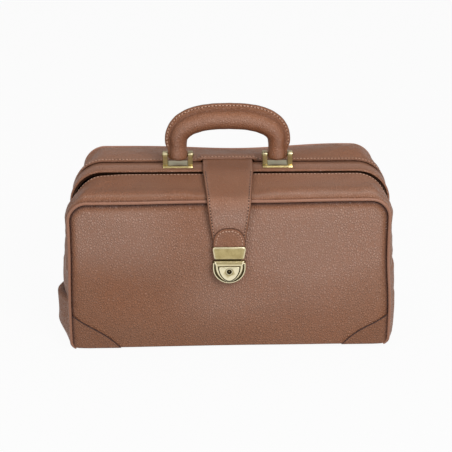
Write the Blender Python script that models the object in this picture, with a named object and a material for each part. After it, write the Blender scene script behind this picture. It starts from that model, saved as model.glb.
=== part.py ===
"""Leather doctor bag: a soft body on a hinged steel mouth frame, with a handle, a strap and a tuck lock.

The bag stands on the floor at z = 0, its length along X and its front towards -Y.
"""
import math

import bmesh
import bpy
from mathutils import Matrix, Vector

# Body
PANEL_LENGTH = 0.396
BAG_DEPTH = 0.200
PANEL_TOP = 0.200
PANEL_TOP_RADIUS = 0.034
PANEL_BOTTOM_RADIUS = 0.009
PANEL_CROWN = 0.007
LEATHER = 0.0026
PIPING_RADIUS = 0.0025
GUSSET_RISE = 0.001
GUSSET_CROWN = 0.003
END_SPLIT_GAP = 0.001
END_BULGE = 0.015
END_CREASE = 0.004
BOARD_THICKNESS = 0.003
BOARD_MARGIN = 0.006
LINING_THICKNESS = 0.0012
LINING_WALL_TOP = 0.185
LINING_END_TOP = 0.100
PATCH_LENGTH = 0.060
PATCH_HEIGHT = 0.044
PATCH_THICKNESS = 0.0012
PATCH_BULGE = 0.004
FOOT_HEIGHT = 0.005
FOOT_RADIUS = 0.008
FOOT_END_INSET = 0.048
FOOT_SIDE_INSET = 0.035

# Mouth frame
FRAME_OVERHANG = 0.014
FRAME_TOP = 0.211
FRAME_RADIUS = 0.042
FRAME_FRONT = -0.022
FRAME_REAR = 0.011
COVER_THICKNESS = 0.0022
BAR_THICKNESS = 0.002
BAR_INSET = 0.002
FRAME_GAP = 0.002
FRONT_BAR_WIDTH = 0.010
HEM_WIDTH = 0.012
HEM_START = 0.020
PIVOT_HEIGHT = 0.116
EAR_RADIUS = 0.008
RIVET_RADIUS = 0.0025
RIVET_HEAD_RADIUS = 0.005
RIVET_HEAD = 0.0014

# Handle
HANDLE_SPAN = 0.1264
HANDLE_RISE = 0.018
HANDLE_ARCH = 0.030
HANDLE_SQUARENESS = 2.55
GRIP_RADIUS = 0.0143
GRIP_END_RADIUS = 0.0105
GRIP_FLANGE = 0.0070
FLANGE_THICKNESS = 0.004
GRIP_TAIL = 0.0070
GRIP_TAIL_ROUND = 0.45
GRIP_GROWTH = 0.95
FLANGE_ROOT = 0.001
FLANGE_LEG = 0.0050
FLANGE_START = 0.0072
FLANGE_RUN = 0.007
FLANGE_WIDEN_START = 0.030
FLANGE_WIDEN_RUN = 0.016
CORE_RADIUS = 0.003
PIN_RADIUS = 0.002
PIN_HEAD_RADIUS = 0.0032
PIN_HEAD = 0.0009
PIN_HEIGHT = 0.0135
BRACKET_WIDTH = 0.0385
BRACKET_DEPTH = 0.020
BRACKET_EAR = 0.0062
BRACKET_EAR_DEPTH = 0.014
BRACKET_EAR_HEIGHT = 0.0215
BRACKET_PLATE = 0.002

# Strap
STRAP_THICKNESS = 0.003
STRAP_TOP_WIDTH = 0.064
STRAP_END_WIDTH = 0.042
STRAP_HINGE_Y = -0.0245
STRAP_BEND_RADIUS = 0.016
STRAP_STAND = 0.002
STRAP_SLOPE = 12.0
STRAP_OVERLAP = 0.0016
TAB_WIDTH = 0.039
TAB_HEIGHT = 0.0229
TAB_THICKNESS = 0.0016

# Lock
LOCK_WIDTH = 0.040
LOCK_CENTRE = 0.1186
LOCK_RISE = 0.0102
LOCK_DEPTH = 0.0085
LOCK_RIM_STEP = 0.0015
BUTTON_WIDTH = 0.027
BUTTON_DROP = 0.0041
BUTTON_RISE = 0.0067
BUTTON_THICKNESS = 0.0045
BUTTON_PROUD = 0.0006
POCKET_FLOOR = 0.0012
KEY_RISE = 0.0003
CYLINDER_RADIUS = 0.0042
KEYWAY_RADIUS = 0.0029
KEY_PIN_RADIUS = 0.001
KEYWAY_DEPTH = 0.0028
SPRING_RADIUS = 0.0022
SPRING_WIRE = 0.00025
SPRING_TURNS = 2
HASP_GAP = 0.0016
HASP_HEIGHT = 0.0172
HASP_TOP_WIDTH = 0.0412
HASP_BOTTOM_WIDTH = 0.0378
HASP_THICKNESS = 0.0034
HASP_BEVEL = 0.001
TONGUE_WIDTH = 0.020
TONGUE_LENGTH = 0.0034
TONGUE_THICKNESS = 0.0012
SLOT_DEPTH = 0.0030
SLOT_FRONT_ROOM = 0.0027
BACK_PLATE_WIDTH = 0.030
BACK_PLATE_HEIGHT = 0.024
BACK_PLATE_THICKNESS = 0.001

# Fits
CLEARANCE = 0.0003
RUNNING = 0.0003

# Facets
CORNER_STEPS = 8
TOP_STEPS = 8
ROUND_SIDES = 16
TUBE_SIDES = 8
GRIP_SIDES = 12
GRIP_STEPS = 16
GUSSET_STEPS = 6
END_COLUMNS = 16
PATCH_STEPS = 8
EAR_TURNS = 10
BEND_STEPS = 6
TAB_STEPS = 12
COIL_STEPS = 10
WIRE_SIDES = 6

# Shares that shape the soft and rounded parts
PANEL_SHARES = (0.05, 0.3, 0.55, 0.8, 0.9, 1.0)
EAR_SHARES = (0.97, 0.8, 0.45, 0.0)
LEG_SHARES = (0.3, 0.65)
END_SWELL = ((0.2, 0.75), (0.42, 1.0), (0.7, 0.75), (1.0, 0.55))
END_BASE_SWELL = 0.25
PATCH_SHARES = (0.02, 0.1, 0.3, 0.6, 1.0)
FOOT_SHARES = ((0.0, 0.55), (0.2, 0.8), (0.55, 1.0))
RIVET_CROWN = 0.6
RIVET_EDGE = 0.4
PIN_CROWN = 0.7
PIN_EDGE = 0.5

# Sizes that follow from the driving ones
HALF_LENGTH = PANEL_LENGTH / 2
HALF_DEPTH = BAG_DEPTH / 2
FRAME_HALF = (PANEL_LENGTH + FRAME_OVERHANG) / 2
PANEL_EDGE = PIPING_RADIUS + CLEARANCE
GUSSET_EDGE_Y = HALF_DEPTH - PIPING_RADIUS - CLEARANCE
PANEL_OUTER_Y = HALF_DEPTH + LEATHER / 2
PANEL_INNER_Y = HALF_DEPTH - LEATHER / 2
PANEL_BASE = FOOT_HEIGHT + CLEARANCE
FOOT_SPACING_X = PANEL_LENGTH - 2 * FOOT_END_INSET
FOOT_SPACING_Y = BAG_DEPTH - 2 * FOOT_SIDE_INSET
END_SPLIT_HEIGHT = PIVOT_HEIGHT - EAR_RADIUS - END_SPLIT_GAP
PANEL_MIDDLE = (PANEL_TOP + PANEL_BASE) / 2
PANEL_HALF_HEIGHT = (PANEL_TOP - PANEL_EDGE - PANEL_BASE) / 2
HEM_BOTTOM = PIVOT_HEIGHT + HEM_START
LEG_TOP = FRAME_TOP - FRAME_RADIUS
BAR_DEPTH = COVER_THICKNESS + CLEARANCE
FRONT_BAR_DEPTH = BAR_DEPTH + BAR_THICKNESS + 2 * CLEARANCE + COVER_THICKNESS
PIN_Z = FRAME_TOP + CLEARANCE + PIN_HEIGHT
LOCK_BACK_Y = -(PANEL_OUTER_Y + PANEL_CROWN + CLEARANCE)
STRAP_TOP_Z = FRAME_TOP + CLEARANCE + STRAP_THICKNESS
STRAP_FRONT_Y = LOCK_BACK_Y - STRAP_THICKNESS
LOCK_TOP = LOCK_CENTRE + LOCK_RISE
BUTTON_CENTRE = LOCK_CENTRE - BUTTON_DROP
BUTTON_TOP = BUTTON_CENTRE + BUTTON_RISE
KEY_HEIGHT = BUTTON_CENTRE + KEY_RISE
HASP_BOTTOM = LOCK_TOP + HASP_GAP
HASP_TOP = HASP_BOTTOM + HASP_HEIGHT
TAB_TOP = HASP_TOP + TAB_HEIGHT
STRAP_END_HEIGHT = HASP_BOTTOM + STRAP_OVERLAP

for old in list(bpy.data.objects):
    bpy.data.objects.remove(old, do_unlink=True)


def make_material(name, colour, roughness, metallic=0.0):
    """Return a Principled material of one plain finish."""
    material = bpy.data.materials.new(name)
    material.use_nodes = True
    shader = material.node_tree.nodes["Principled BSDF"]
    shader.inputs["Base Color"].default_value = (*colour, 1.0)
    shader.inputs["Roughness"].default_value = roughness
    shader.inputs["Metallic"].default_value = metallic
    return material


BROWN_LEATHER = (0.27, 0.125, 0.075)
PALE_LEATHER = (0.36, 0.18, 0.11)
DARK_LEATHER = (0.20, 0.09, 0.055)
BRASS = (0.55, 0.44, 0.22)
STEEL = (0.50, 0.49, 0.47)
FINISHES = {
    "leather": (BROWN_LEATHER, 0.5, 0.0),
    "piping": (PALE_LEATHER, 0.5, 0.0),
    "patch": (DARK_LEATHER, 0.5, 0.0),
    "brass": (BRASS, 0.35, 1.0),
    "steel": (STEEL, 0.4, 1.0),
    "board": ((0.16, 0.12, 0.09), 0.85, 0.0),
    "cloth": ((0.13, 0.085, 0.06), 0.9, 0.0),
}


def add_object(name, vertices, faces, finish, parent=None, flat=False):
    """Make a named object from points and faces, with its own material and its faces turned outwards."""
    shape = bmesh.new()
    corners = [shape.verts.new(point) for point in vertices]
    for face in faces:
        shape.faces.new([corners[i] for i in face])
    bmesh.ops.remove_doubles(shape, verts=shape.verts, dist=1e-6)
    bmesh.ops.dissolve_degenerate(shape, edges=shape.edges, dist=1e-7)
    bmesh.ops.recalc_face_normals(shape, faces=shape.faces)
    mesh = bpy.data.meshes.new(name)
    shape.to_mesh(mesh)
    shape.free()
    item = bpy.data.objects.new(name, mesh)
    bpy.context.collection.objects.link(item)
    if finish:
        mesh.materials.append(make_material(name, *FINISHES[finish]))
    if not flat:
        mesh.shade_smooth()
        mesh.set_sharp_from_angle(angle=math.radians(40))
    if parent:
        item.parent = parent
        item.matrix_parent_inverse = Matrix.Translation(-parent.location)
    return item


def add_axis(name, location):
    """Make an empty that marks a joint's axis and carries what turns on it."""
    axis = bpy.data.objects.new(name, None)
    axis.location = location
    bpy.context.collection.objects.link(axis)
    return axis


def loft(rings, closed=False):
    """Join rings of equal length into points and faces; an open loft gets an end face on each end."""
    count = len(rings[0])
    vertices = [point for ring in rings for point in ring]
    faces = []
    spans = len(rings) if closed else len(rings) - 1
    for i in range(spans):
        here = i * count
        there = (i + 1) % len(rings) * count
        for j in range(count):
            k = (j + 1) % count
            faces.append((here + j, here + k, there + k, there + j))
    if not closed:
        faces.append(tuple(range(count)))
        faces.append(tuple(range((len(rings) - 1) * count, len(rings) * count)))
    return vertices, faces


def turned(profile, origin, axis, sides=ROUND_SIDES):
    """Loft circles of (distance, radius) along an axis letter from an origin."""
    along = {"X": Vector((1, 0, 0)), "Y": Vector((0, -1, 0)), "Z": Vector((0, 0, 1))}[axis]
    across = Vector((0, 0, 1)) if axis != "Z" else Vector((1, 0, 0))
    side = along.cross(across)
    rings = []
    for distance, radius in profile:
        centre = Vector(origin) + along * distance
        ring = []
        for i in range(sides):
            angle = 2 * math.pi * i / sides
            ring.append(centre + radius * (math.cos(angle) * across + math.sin(angle) * side))
        rings.append(ring)
    return loft(rings)


def cut(item, cutter):
    """Take a hidden cutter's shape out of an object."""
    modifier = item.modifiers.new(cutter.name, "BOOLEAN")
    modifier.operation = "DIFFERENCE"
    modifier.solver = "EXACT"
    modifier.object = cutter


def add_cutter(name, vertices, faces):
    """Make a shape that only cuts others."""
    cutter = add_object(name, vertices, faces, None, flat=True)
    cutter.hide_render = True
    cutter.display_type = "WIRE"
    return cutter


def blend(low, high, share):
    """Mix two values with an easy start and end."""
    share = min(max(share, 0.0), 1.0)
    return low + (high - low) * share * share * (3 - 2 * share)


def arch(half, top, radius, legs):
    """Points (x, z, outward x, outward z) up the left leg, over the top and down the right leg."""
    left = [(-half, z, -1.0, 0.0) for z in legs] + [(-half, top - radius, -1.0, 0.0)]
    corner_x = -half + radius
    corner_z = top - radius
    for i in range(1, CORNER_STEPS + 1):
        angle = math.pi - math.pi / 2 * i / CORNER_STEPS
        c, s = math.cos(angle), math.sin(angle)
        left.append((corner_x + radius * c, corner_z + radius * s, c, s))
    across = [(corner_x - 2 * corner_x * i / TOP_STEPS, top, 0.0, 1.0) for i in range(1, TOP_STEPS)]
    right = [(-x, z, -c, s) for x, z, c, s in reversed(left)]
    return left + across + right


UPPER_LEGS = [PIVOT_HEIGHT + (LEG_TOP - PIVOT_HEIGHT) * share for share in LEG_SHARES]
FRAME_LEGS = [PIVOT_HEIGHT - EAR_RADIUS * share for share in EAR_SHARES] + UPPER_LEGS


def leg_edges(z, front, rear):
    """Front and rear edge of a frame leg at a height: a round ear at the rivet, widening upwards."""
    if z < PIVOT_HEIGHT:
        half = math.sqrt(max(EAR_RADIUS ** 2 - (PIVOT_HEIGHT - z) ** 2, 0.0))
        return -half, half
    share = (z - PIVOT_HEIGHT) / (LEG_TOP - PIVOT_HEIGHT)
    return blend(-EAR_RADIUS, front, share), blend(EAR_RADIUS, rear, share)


def frame_band(depth, thickness, front, rear, legs=None):
    """Loft a flat band that follows the frame's arch, at a depth below the outer face."""
    legs = legs or FRAME_LEGS
    outer = arch(FRAME_HALF - depth, FRAME_TOP - depth, FRAME_RADIUS - depth, legs)
    under = depth + thickness
    inner = arch(FRAME_HALF - under, FRAME_TOP - under, FRAME_RADIUS - under, legs)
    rings = []
    for (xo, zo, _, _), (xi, zi, _, _) in zip(outer, inner):
        low, high = leg_edges(min(zo, LEG_TOP), front, rear)
        rings.append([(xo, low, zo), (xo, high, zo), (xi, high, zi), (xi, low, zi)])
    return loft(rings)


def rounded_outline(half_x, low, high, top_radius, bottom_radius, steps=6, fills=8):
    """Closed outline (x, z) of a panel with round corners, with extra points on its long sides."""
    corners = (
        (half_x - top_radius, high - top_radius, top_radius, 0.0),
        (-half_x + top_radius, high - top_radius, top_radius, 0.5),
        (-half_x + bottom_radius, low + bottom_radius, bottom_radius, 1.0),
        (half_x - bottom_radius, low + bottom_radius, bottom_radius, 1.5),
    )
    arcs = []
    for x, z, radius, start in corners:
        turn = [math.pi * (start + 0.5 * i / steps) for i in range(steps + 1)]
        arcs.append([(x + radius * math.cos(a), z + radius * math.sin(a)) for a in turn])
    points = []
    for arc, following in zip(arcs, arcs[1:] + arcs[:1]):
        points += arc
        (x0, z0), (x1, z1) = arc[-1], following[0]
        points += [(x0 + (x1 - x0) * i / fills, z0 + (z1 - z0) * i / fills) for i in range(1, fills)]
    return points


def crown(x, z):
    """How far a panel swells out at a point of its face."""
    along = max(1 - (x / HALF_LENGTH) ** 2, 0.0)
    up = max(1 - ((z - PANEL_MIDDLE) / PANEL_HALF_HEIGHT) ** 2, 0.0)
    return PANEL_CROWN * along * up


def panel_face(x, z, offset=0.0):
    """Distance of a panel's outer face from the bag's middle plane."""
    return PANEL_OUTER_Y + crown(x, z) + offset


def add_panel(name, side):
    """A large leather panel with a soft crown; side is -1 at the front and 1 at the rear."""
    outline = rounded_outline(
        HALF_LENGTH - PANEL_EDGE,
        PANEL_BASE,
        PANEL_TOP - PANEL_EDGE,
        PANEL_TOP_RADIUS - PANEL_EDGE,
        PANEL_BOTTOM_RADIUS,
    )
    rings = []
    for offset, order in ((0.0, PANEL_SHARES), (-LEATHER, PANEL_SHARES[::-1])):
        for share in order:
            ring = []
            for x, z in outline:
                px = x * share
                pz = PANEL_MIDDLE + (z - PANEL_MIDDLE) * share
                ring.append((px, side * panel_face(px, pz, offset), pz))
            rings.append(ring)
    return add_object(name, *loft(rings), "leather")


def add_piping(name, side):
    """The welt that edges a panel, up one side, over the top and down the other."""
    legs = [PANEL_BASE, PANEL_TOP / 3, PANEL_TOP / 2]
    rings = []
    for x, z, nx, nz in arch(HALF_LENGTH, PANEL_TOP, PANEL_TOP_RADIUS, legs):
        ring = []
        for i in range(TUBE_SIDES):
            angle = 2 * math.pi * i / TUBE_SIDES
            out = PIPING_RADIUS * math.cos(angle)
            ring.append((x + out * nx, side * HALF_DEPTH + PIPING_RADIUS * math.sin(angle), z + out * nz))
        rings.append(ring)
    return add_object(name, *loft(rings), "piping")


GUSSET_BOTTOM = END_SPLIT_HEIGHT + CLEARANCE
REAR_LEGS = [GUSSET_BOTTOM, PIVOT_HEIGHT] + UPPER_LEGS
FRONT_LEGS = [GUSSET_BOTTOM, PIVOT_HEIGHT, HEM_BOTTOM - 2 * CLEARANCE, HEM_BOTTOM - CLEARANCE]


def add_top_gusset(name, side):
    """The leather band from a panel's piping to its half of the frame, over the top and down the ends."""
    depth = 0.0 if side > 0 else FRONT_BAR_DEPTH - LEATHER - CLEARANCE
    legs = REAR_LEGS if side > 0 else FRONT_LEGS
    at_frame = arch(FRAME_HALF - depth, FRAME_TOP - depth, FRAME_RADIUS - depth, legs)
    half = HALF_LENGTH + GUSSET_RISE
    at_piping = arch(half, PANEL_TOP + GUSSET_RISE, PANEL_TOP_RADIUS + GUSSET_RISE, legs)
    rings = []
    for (xf, zf, nx, nz), (xp, zp, _, _) in zip(at_frame, at_piping):
        level = min(max(zf, PIVOT_HEIGHT), LEG_TOP)
        low, high = leg_edges(level, FRAME_FRONT, FRAME_REAR)
        if side > 0:
            start = high + CLEARANCE
        else:
            start = low - FRAME_GAP
            if zf > HEM_BOTTOM - 1.5 * CLEARANCE:
                start -= HEM_WIDTH + CLEARANCE
        outer = []
        for i in range(GUSSET_STEPS + 1):
            share = i / GUSSET_STEPS
            swell = GUSSET_CROWN * math.sin(math.pi * share)
            x = xf + (xp - xf) * share + nx * swell
            z = zf + (zp - zf) * share + nz * swell
            outer.append((x, start + (side * GUSSET_EDGE_Y - start) * share, z))
        inner = [(x - nx * LEATHER, y, z - nz * LEATHER) for x, y, z in reversed(outer)]
        rings.append(outer + inner)
    return add_object(name, *loft(rings), "leather")


def add_end_gusset(name, side):
    """The lower end of the bag, folded into two soft lobes; side is -1 at the left and 1 at the right."""
    base = FOOT_HEIGHT + LEATHER + CLEARANCE
    heights = [(base, END_BASE_SWELL)]
    heights += [(END_SPLIT_HEIGHT * share, swell) for share, swell in END_SWELL]
    rings = []
    for z, swell in heights:
        outer = []
        for i in range(END_COLUMNS + 1):
            y = GUSSET_EDGE_Y * (2 * i / END_COLUMNS - 1)
            lobe = math.sin(math.pi * abs(y) / GUSSET_EDGE_Y) ** 2
            middle = math.cos(math.pi * y / GUSSET_EDGE_Y / 2) ** 2
            x = HALF_LENGTH + GUSSET_RISE + swell * (END_BULGE * lobe + END_CREASE * middle)
            outer.append((side * x, y, z))
        inner = [(x - side * LEATHER, y, z) for x, y, z in reversed(outer)]
        rings.append(outer + inner)
    return add_object(name, *loft(rings), "leather")


def add_flat_panel(name, half_x, half_y, radius, low, high, finish):
    """A level sheet with round corners."""
    outline = rounded_outline(half_x, -half_y, half_y, radius, radius, 4, 2)
    rings = [[(x, y, z) for x, y in outline] for z in (low, high)]
    return add_object(name, *loft(rings), finish)


def add_lining(name, floor):
    """The cloth inside: a thin tub whose front and rear walls stand higher than its ends."""
    half_x = HALF_LENGTH + GUSSET_RISE - LEATHER - CLEARANCE
    half_y = PANEL_INNER_Y - CLEARANCE
    walls = []
    for inset in (0.0, LINING_THICKNESS):
        radius = PANEL_BOTTOM_RADIUS - inset
        walls.append(rounded_outline(half_x - inset, inset - half_y, half_y - inset, radius, radius, 4, 8))
    rim = []
    for x, _ in walls[0]:
        share = (half_x - abs(x)) / PANEL_TOP_RADIUS - 0.5
        rim.append(blend(LINING_END_TOP, LINING_WALL_TOP, share))
    rings = [
        [(x, y, floor) for x, y in walls[0]],
        [(x, y, z) for (x, y), z in zip(walls[0], rim)],
        [(x, y, z) for (x, y), z in zip(walls[1], rim)],
        [(x, y, floor + LINING_THICKNESS) for x, y in walls[1]],
    ]
    return add_object(name, *loft(rings), "cloth")


def add_corner_patch(name, end, side):
    """A bottom corner's reinforcement, with one swelling edge across the panel's corner."""
    reach = HALF_LENGTH - PANEL_EDGE
    radius = PANEL_BOTTOM_RADIUS
    distances = [radius * share for share in PATCH_SHARES]
    distances += [radius + (PATCH_LENGTH - radius) * i / PATCH_STEPS for i in range(1, PATCH_STEPS + 1)]
    columns = []
    for distance in distances:
        inward = max(radius - distance, 0.0)
        low = PANEL_BASE + radius - math.sqrt(radius ** 2 - inward ** 2)
        share = distance / PATCH_LENGTH
        slant = PATCH_HEIGHT * (1 - share) + PATCH_BULGE * math.sin(math.pi * share)
        top = PANEL_BASE + PATCH_THICKNESS + slant
        x = end * (reach - distance)
        columns.append([(x, low), (x, (low + top) / 2), (x, top)])
    rings = []
    for column in columns:
        offsets = (CLEARANCE, CLEARANCE + PATCH_THICKNESS)
        near = [(x, side * panel_face(x, z, offsets[0]), z) for x, z in column]
        far = [(x, side * panel_face(x, z, offsets[1]), z) for x, z in reversed(column)]
        rings.append(near + far)
    return add_object(name, *loft(rings), "patch")


def add_foot(name, x, y):
    """A low stud under the bottom, flat where it stands."""
    profile = [(FOOT_HEIGHT * up, FOOT_RADIUS * wide) for up, wide in FOOT_SHARES]
    profile.append((FOOT_HEIGHT - CLEARANCE, FOOT_RADIUS))
    return add_object(name, *turned(profile, (x, y, 0.0), "Z"), "brass")


def add_body():
    """Panels, gussets, piping, patches, board, lining and studs."""
    for name, side in (("front", -1), ("rear", 1)):
        add_panel(f"{name}_panel", side)
        add_piping(f"{name}_piping", side)
        add_top_gusset(f"{name}_top_gusset", side)
        for end_name, end in (("left", -1), ("right", 1)):
            add_corner_patch(f"{name}_{end_name}_corner_patch", end, side)
    add_end_gusset("left_end_gusset", -1)
    add_end_gusset("right_end_gusset", 1)
    half_x = HALF_LENGTH + GUSSET_RISE
    half_y = PANEL_INNER_Y - CLEARANCE
    top = FOOT_HEIGHT + LEATHER
    add_flat_panel("bottom_panel", half_x, half_y, PANEL_BOTTOM_RADIUS, FOOT_HEIGHT, top, "leather")
    board_low = top + CLEARANCE
    board_top = board_low + BOARD_THICKNESS
    board_x = half_x - BOARD_MARGIN
    board_y = half_y - BOARD_MARGIN
    add_flat_panel("base_board", board_x, board_y, PANEL_BOTTOM_RADIUS, board_low, board_top, "board")
    add_lining("lining", board_top + CLEARANCE)
    add_foot("middle_foot", 0.0, 0.0)
    for name, y in (("front", -FOOT_SPACING_Y / 2), ("rear", FOOT_SPACING_Y / 2)):
        for end_name, x in (("left", -FOOT_SPACING_X / 2), ("right", FOOT_SPACING_X / 2)):
            add_foot(f"{name}_{end_name}_foot", x, y)


def add_frame():
    """Both halves of the mouth frame and the rivets that hinge them."""
    reach = FRAME_HALF + RIVET_HEAD
    hole = RIVET_RADIUS + RUNNING
    rivet_hole = add_cutter(
        "rivet_hole", *turned(((-reach, hole), (reach, hole)), (0.0, 0.0, PIVOT_HEIGHT), "X")
    )
    front, rear = FRAME_FRONT, FRAME_REAR
    cover = add_object("rear_frame_cover", *frame_band(0.0, COVER_THICKNESS, front, rear), "leather")
    band = frame_band(BAR_DEPTH, BAR_THICKNESS, front + BAR_INSET, rear - BAR_INSET)
    bar = add_object("rear_frame_bar", *band, "steel")

    swing = add_axis("front_frame_axis", (0.0, 0.0, PIVOT_HEIGHT))
    hem_rear = front - FRAME_GAP
    band = frame_band(FRONT_BAR_DEPTH, BAR_THICKNESS, hem_rear - FRONT_BAR_WIDTH, hem_rear)
    front_bar = add_object("front_frame_bar", *band, "steel", swing)
    add_hem("front_frame_hem", swing)
    for item in (cover, bar, front_bar):
        cut(item, rivet_hole)

    inside = FRAME_HALF - FRONT_BAR_DEPTH - BAR_THICKNESS - CLEARANCE
    outside = FRAME_HALF + CLEARANCE
    profile = (
        (inside - RIVET_HEAD, RIVET_HEAD_RADIUS * RIVET_CROWN),
        (inside - RIVET_HEAD * RIVET_EDGE, RIVET_HEAD_RADIUS),
        (inside, RIVET_HEAD_RADIUS),
        (inside, RIVET_RADIUS),
        (outside, RIVET_RADIUS),
        (outside, RIVET_HEAD_RADIUS),
        (outside + RIVET_HEAD * RIVET_EDGE, RIVET_HEAD_RADIUS),
        (outside + RIVET_HEAD, RIVET_HEAD_RADIUS * RIVET_CROWN),
    )
    for name, end in (("left", -1), ("right", 1)):
        mirrored = [(end * distance, radius) for distance, radius in profile]
        add_object(f"{name}_hinge_rivet", *turned(mirrored, (0.0, 0.0, PIVOT_HEIGHT), "X"), "brass")


def add_hem(name, swing):
    """The front half's turned leather edge, lying on its bar beside the rear half's cover."""
    depth = FRONT_BAR_DEPTH - CLEARANCE - COVER_THICKNESS
    legs = (HEM_BOTTOM,)
    outer = arch(FRAME_HALF - depth, FRAME_TOP - depth, FRAME_RADIUS - depth, legs)
    under = depth + COVER_THICKNESS
    inner = arch(FRAME_HALF - under, FRAME_TOP - under, FRAME_RADIUS - under, legs)
    rings = []
    for (xo, zo, _, _), (xi, zi, _, _) in zip(outer, inner):
        low, _ = leg_edges(min(zo, LEG_TOP), FRAME_FRONT, FRAME_REAR)
        rear = low - FRAME_GAP
        front = rear - HEM_WIDTH
        rings.append([(xo, front, zo), (xo, rear, zo), (xi, rear, zi), (xi, front, zi)])
    return add_object(name, *loft(rings), "leather", swing)


def handle_path():
    """Points (x, z, outward x, outward z) of the grip's middle line, from tail to tail."""
    half = HANDLE_SPAN / 2
    base = PIN_Z + HANDLE_RISE
    power = 2 / HANDLE_SQUARENESS
    points = [(-half, PIN_Z - GRIP_TAIL), (-half, PIN_Z - GRIP_TAIL / 2), (-half, PIN_Z)]
    points += [(-half, PIN_Z + HANDLE_RISE / 2)]
    for i in range(GRIP_STEPS + 1):
        angle = math.pi - math.pi * i / GRIP_STEPS
        c, s = math.cos(angle), math.sin(angle)
        x = half * math.copysign(abs(c) ** power, c)
        points.append((x, base + HANDLE_ARCH * abs(s) ** power))
    points += [(-x, z) for x, z in points[3::-1]]
    path = []
    for i, (x, z) in enumerate(points):
        x0, z0 = points[max(i - 1, 0)]
        x1, z1 = points[min(i + 1, len(points) - 1)]
        length = math.hypot(x1 - x0, z1 - z0)
        path.append((x, z, -(z1 - z0) / length, (x1 - x0) / length))
    return path


def grip_section(height):
    """Radius of the roll and reach of its flange at a height above the pins."""
    radius = blend(GRIP_END_RADIUS, GRIP_RADIUS, height / (HANDLE_RISE + HANDLE_ARCH) / GRIP_GROWTH)
    flange = blend(FLANGE_ROOT, FLANGE_LEG, (height - FLANGE_START) / FLANGE_RUN)
    widen = GRIP_FLANGE - FLANGE_LEG
    flange += blend(0.0, widen, (height - FLANGE_WIDEN_START) / FLANGE_WIDEN_RUN)
    tail = -height / GRIP_TAIL
    if tail > 0:
        radius *= math.sqrt(1 - GRIP_TAIL_ROUND * tail * tail)
    return radius, flange


def add_handle():
    """The grip with its flange, its steel core, its brackets and its pins."""
    swing = add_axis("handle_axis", (0.0, 0.0, PIN_Z))
    bore = CORE_RADIUS + CLEARANCE
    skin, hollow, core = [], [], []
    for x, z, nx, nz in handle_path():
        radius, flange = grip_section(z - PIN_Z)
        ring, tunnel, rod = [], [], []
        for i in range(GRIP_SIDES):
            angle = 2 * math.pi * (i + 0.5) / GRIP_SIDES
            c, s = math.cos(angle), math.sin(angle)
            out, across = radius * c, radius * s
            if i in (0, GRIP_SIDES - 1):
                out = radius + flange
                across = math.copysign(FLANGE_THICKNESS / 2, s)
            ring.append((x + out * nx, across, z + out * nz))
            tunnel.append((x + bore * c * nx, bore * s, z + bore * c * nz))
            rod.append((x + CORE_RADIUS * c * nx, CORE_RADIUS * s, z + CORE_RADIUS * c * nz))
        skin.append(ring)
        hollow.append(tunnel)
        if z > PIN_Z + PIN_RADIUS + RUNNING:
            core.append(rod)
    reach = HANDLE_SPAN
    hole = PIN_RADIUS + RUNNING
    pin_hole = add_cutter("pin_hole", *turned(((-reach, hole), (reach, hole)), (0.0, 0.0, PIN_Z), "X"))
    grip = add_object("handle_grip", *loft(skin + hollow[::-1], closed=True), "leather", swing)
    cut(grip, pin_hole)
    add_object("handle_core", *loft(core), "steel", swing)
    for name, end in (("left", -1), ("right", 1)):
        centre = end * HANDLE_SPAN / 2
        cut(add_bracket(f"{name}_handle_bracket", centre), pin_hole)
        half = BRACKET_WIDTH / 2 + CLEARANCE
        profile = (
            (-half - PIN_HEAD, PIN_HEAD_RADIUS * PIN_CROWN),
            (-half - PIN_HEAD * PIN_EDGE, PIN_HEAD_RADIUS),
            (-half, PIN_HEAD_RADIUS),
            (-half, PIN_RADIUS),
            (half, PIN_RADIUS),
            (half, PIN_HEAD_RADIUS),
            (half + PIN_HEAD * PIN_EDGE, PIN_HEAD_RADIUS),
            (half + PIN_HEAD, PIN_HEAD_RADIUS * PIN_CROWN),
        )
        add_object(f"{name}_handle_pin", *turned(profile, (centre, 0.0, PIN_Z), "X"), "brass")


def add_bracket(name, centre):
    """A channel with two upright ears, round on top, that holds one end of the handle."""
    low = FRAME_TOP + CLEARANCE
    plate = low + BRACKET_PLATE
    radius = BRACKET_EAR_DEPTH / 2
    turn = [math.pi * i / EAR_TURNS for i in range(EAR_TURNS + 1)]
    ear = [(-BRACKET_DEPTH / 2, low), (BRACKET_DEPTH / 2, low), (BRACKET_DEPTH / 2, plate)]
    floor = list(ear)
    ear_top = low + BRACKET_EAR_HEIGHT - radius
    ear.append((radius, plate))
    floor.append((radius, plate))
    for angle in turn:
        ear.append((radius * math.cos(angle), ear_top + radius * math.sin(angle)))
        floor.append((radius * math.cos(angle), plate))
    ear += [(-radius, plate), (-BRACKET_DEPTH / 2, plate)]
    floor += [(-radius, plate), (-BRACKET_DEPTH / 2, plate)]
    half = BRACKET_WIDTH / 2
    stations = ((-half, ear), (BRACKET_EAR - half, ear), (BRACKET_EAR - half, floor))
    stations += tuple((-x, outline) for x, outline in reversed(stations))
    rings = [[(centre + x, y, z) for y, z in outline] for x, outline in stations]
    return add_object(name, *loft(rings), "brass")


def strap_width(share):
    """Half the strap's width, from its root to its end."""
    return (STRAP_TOP_WIDTH + (STRAP_END_WIDTH - STRAP_TOP_WIDTH) * share) / 2


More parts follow.
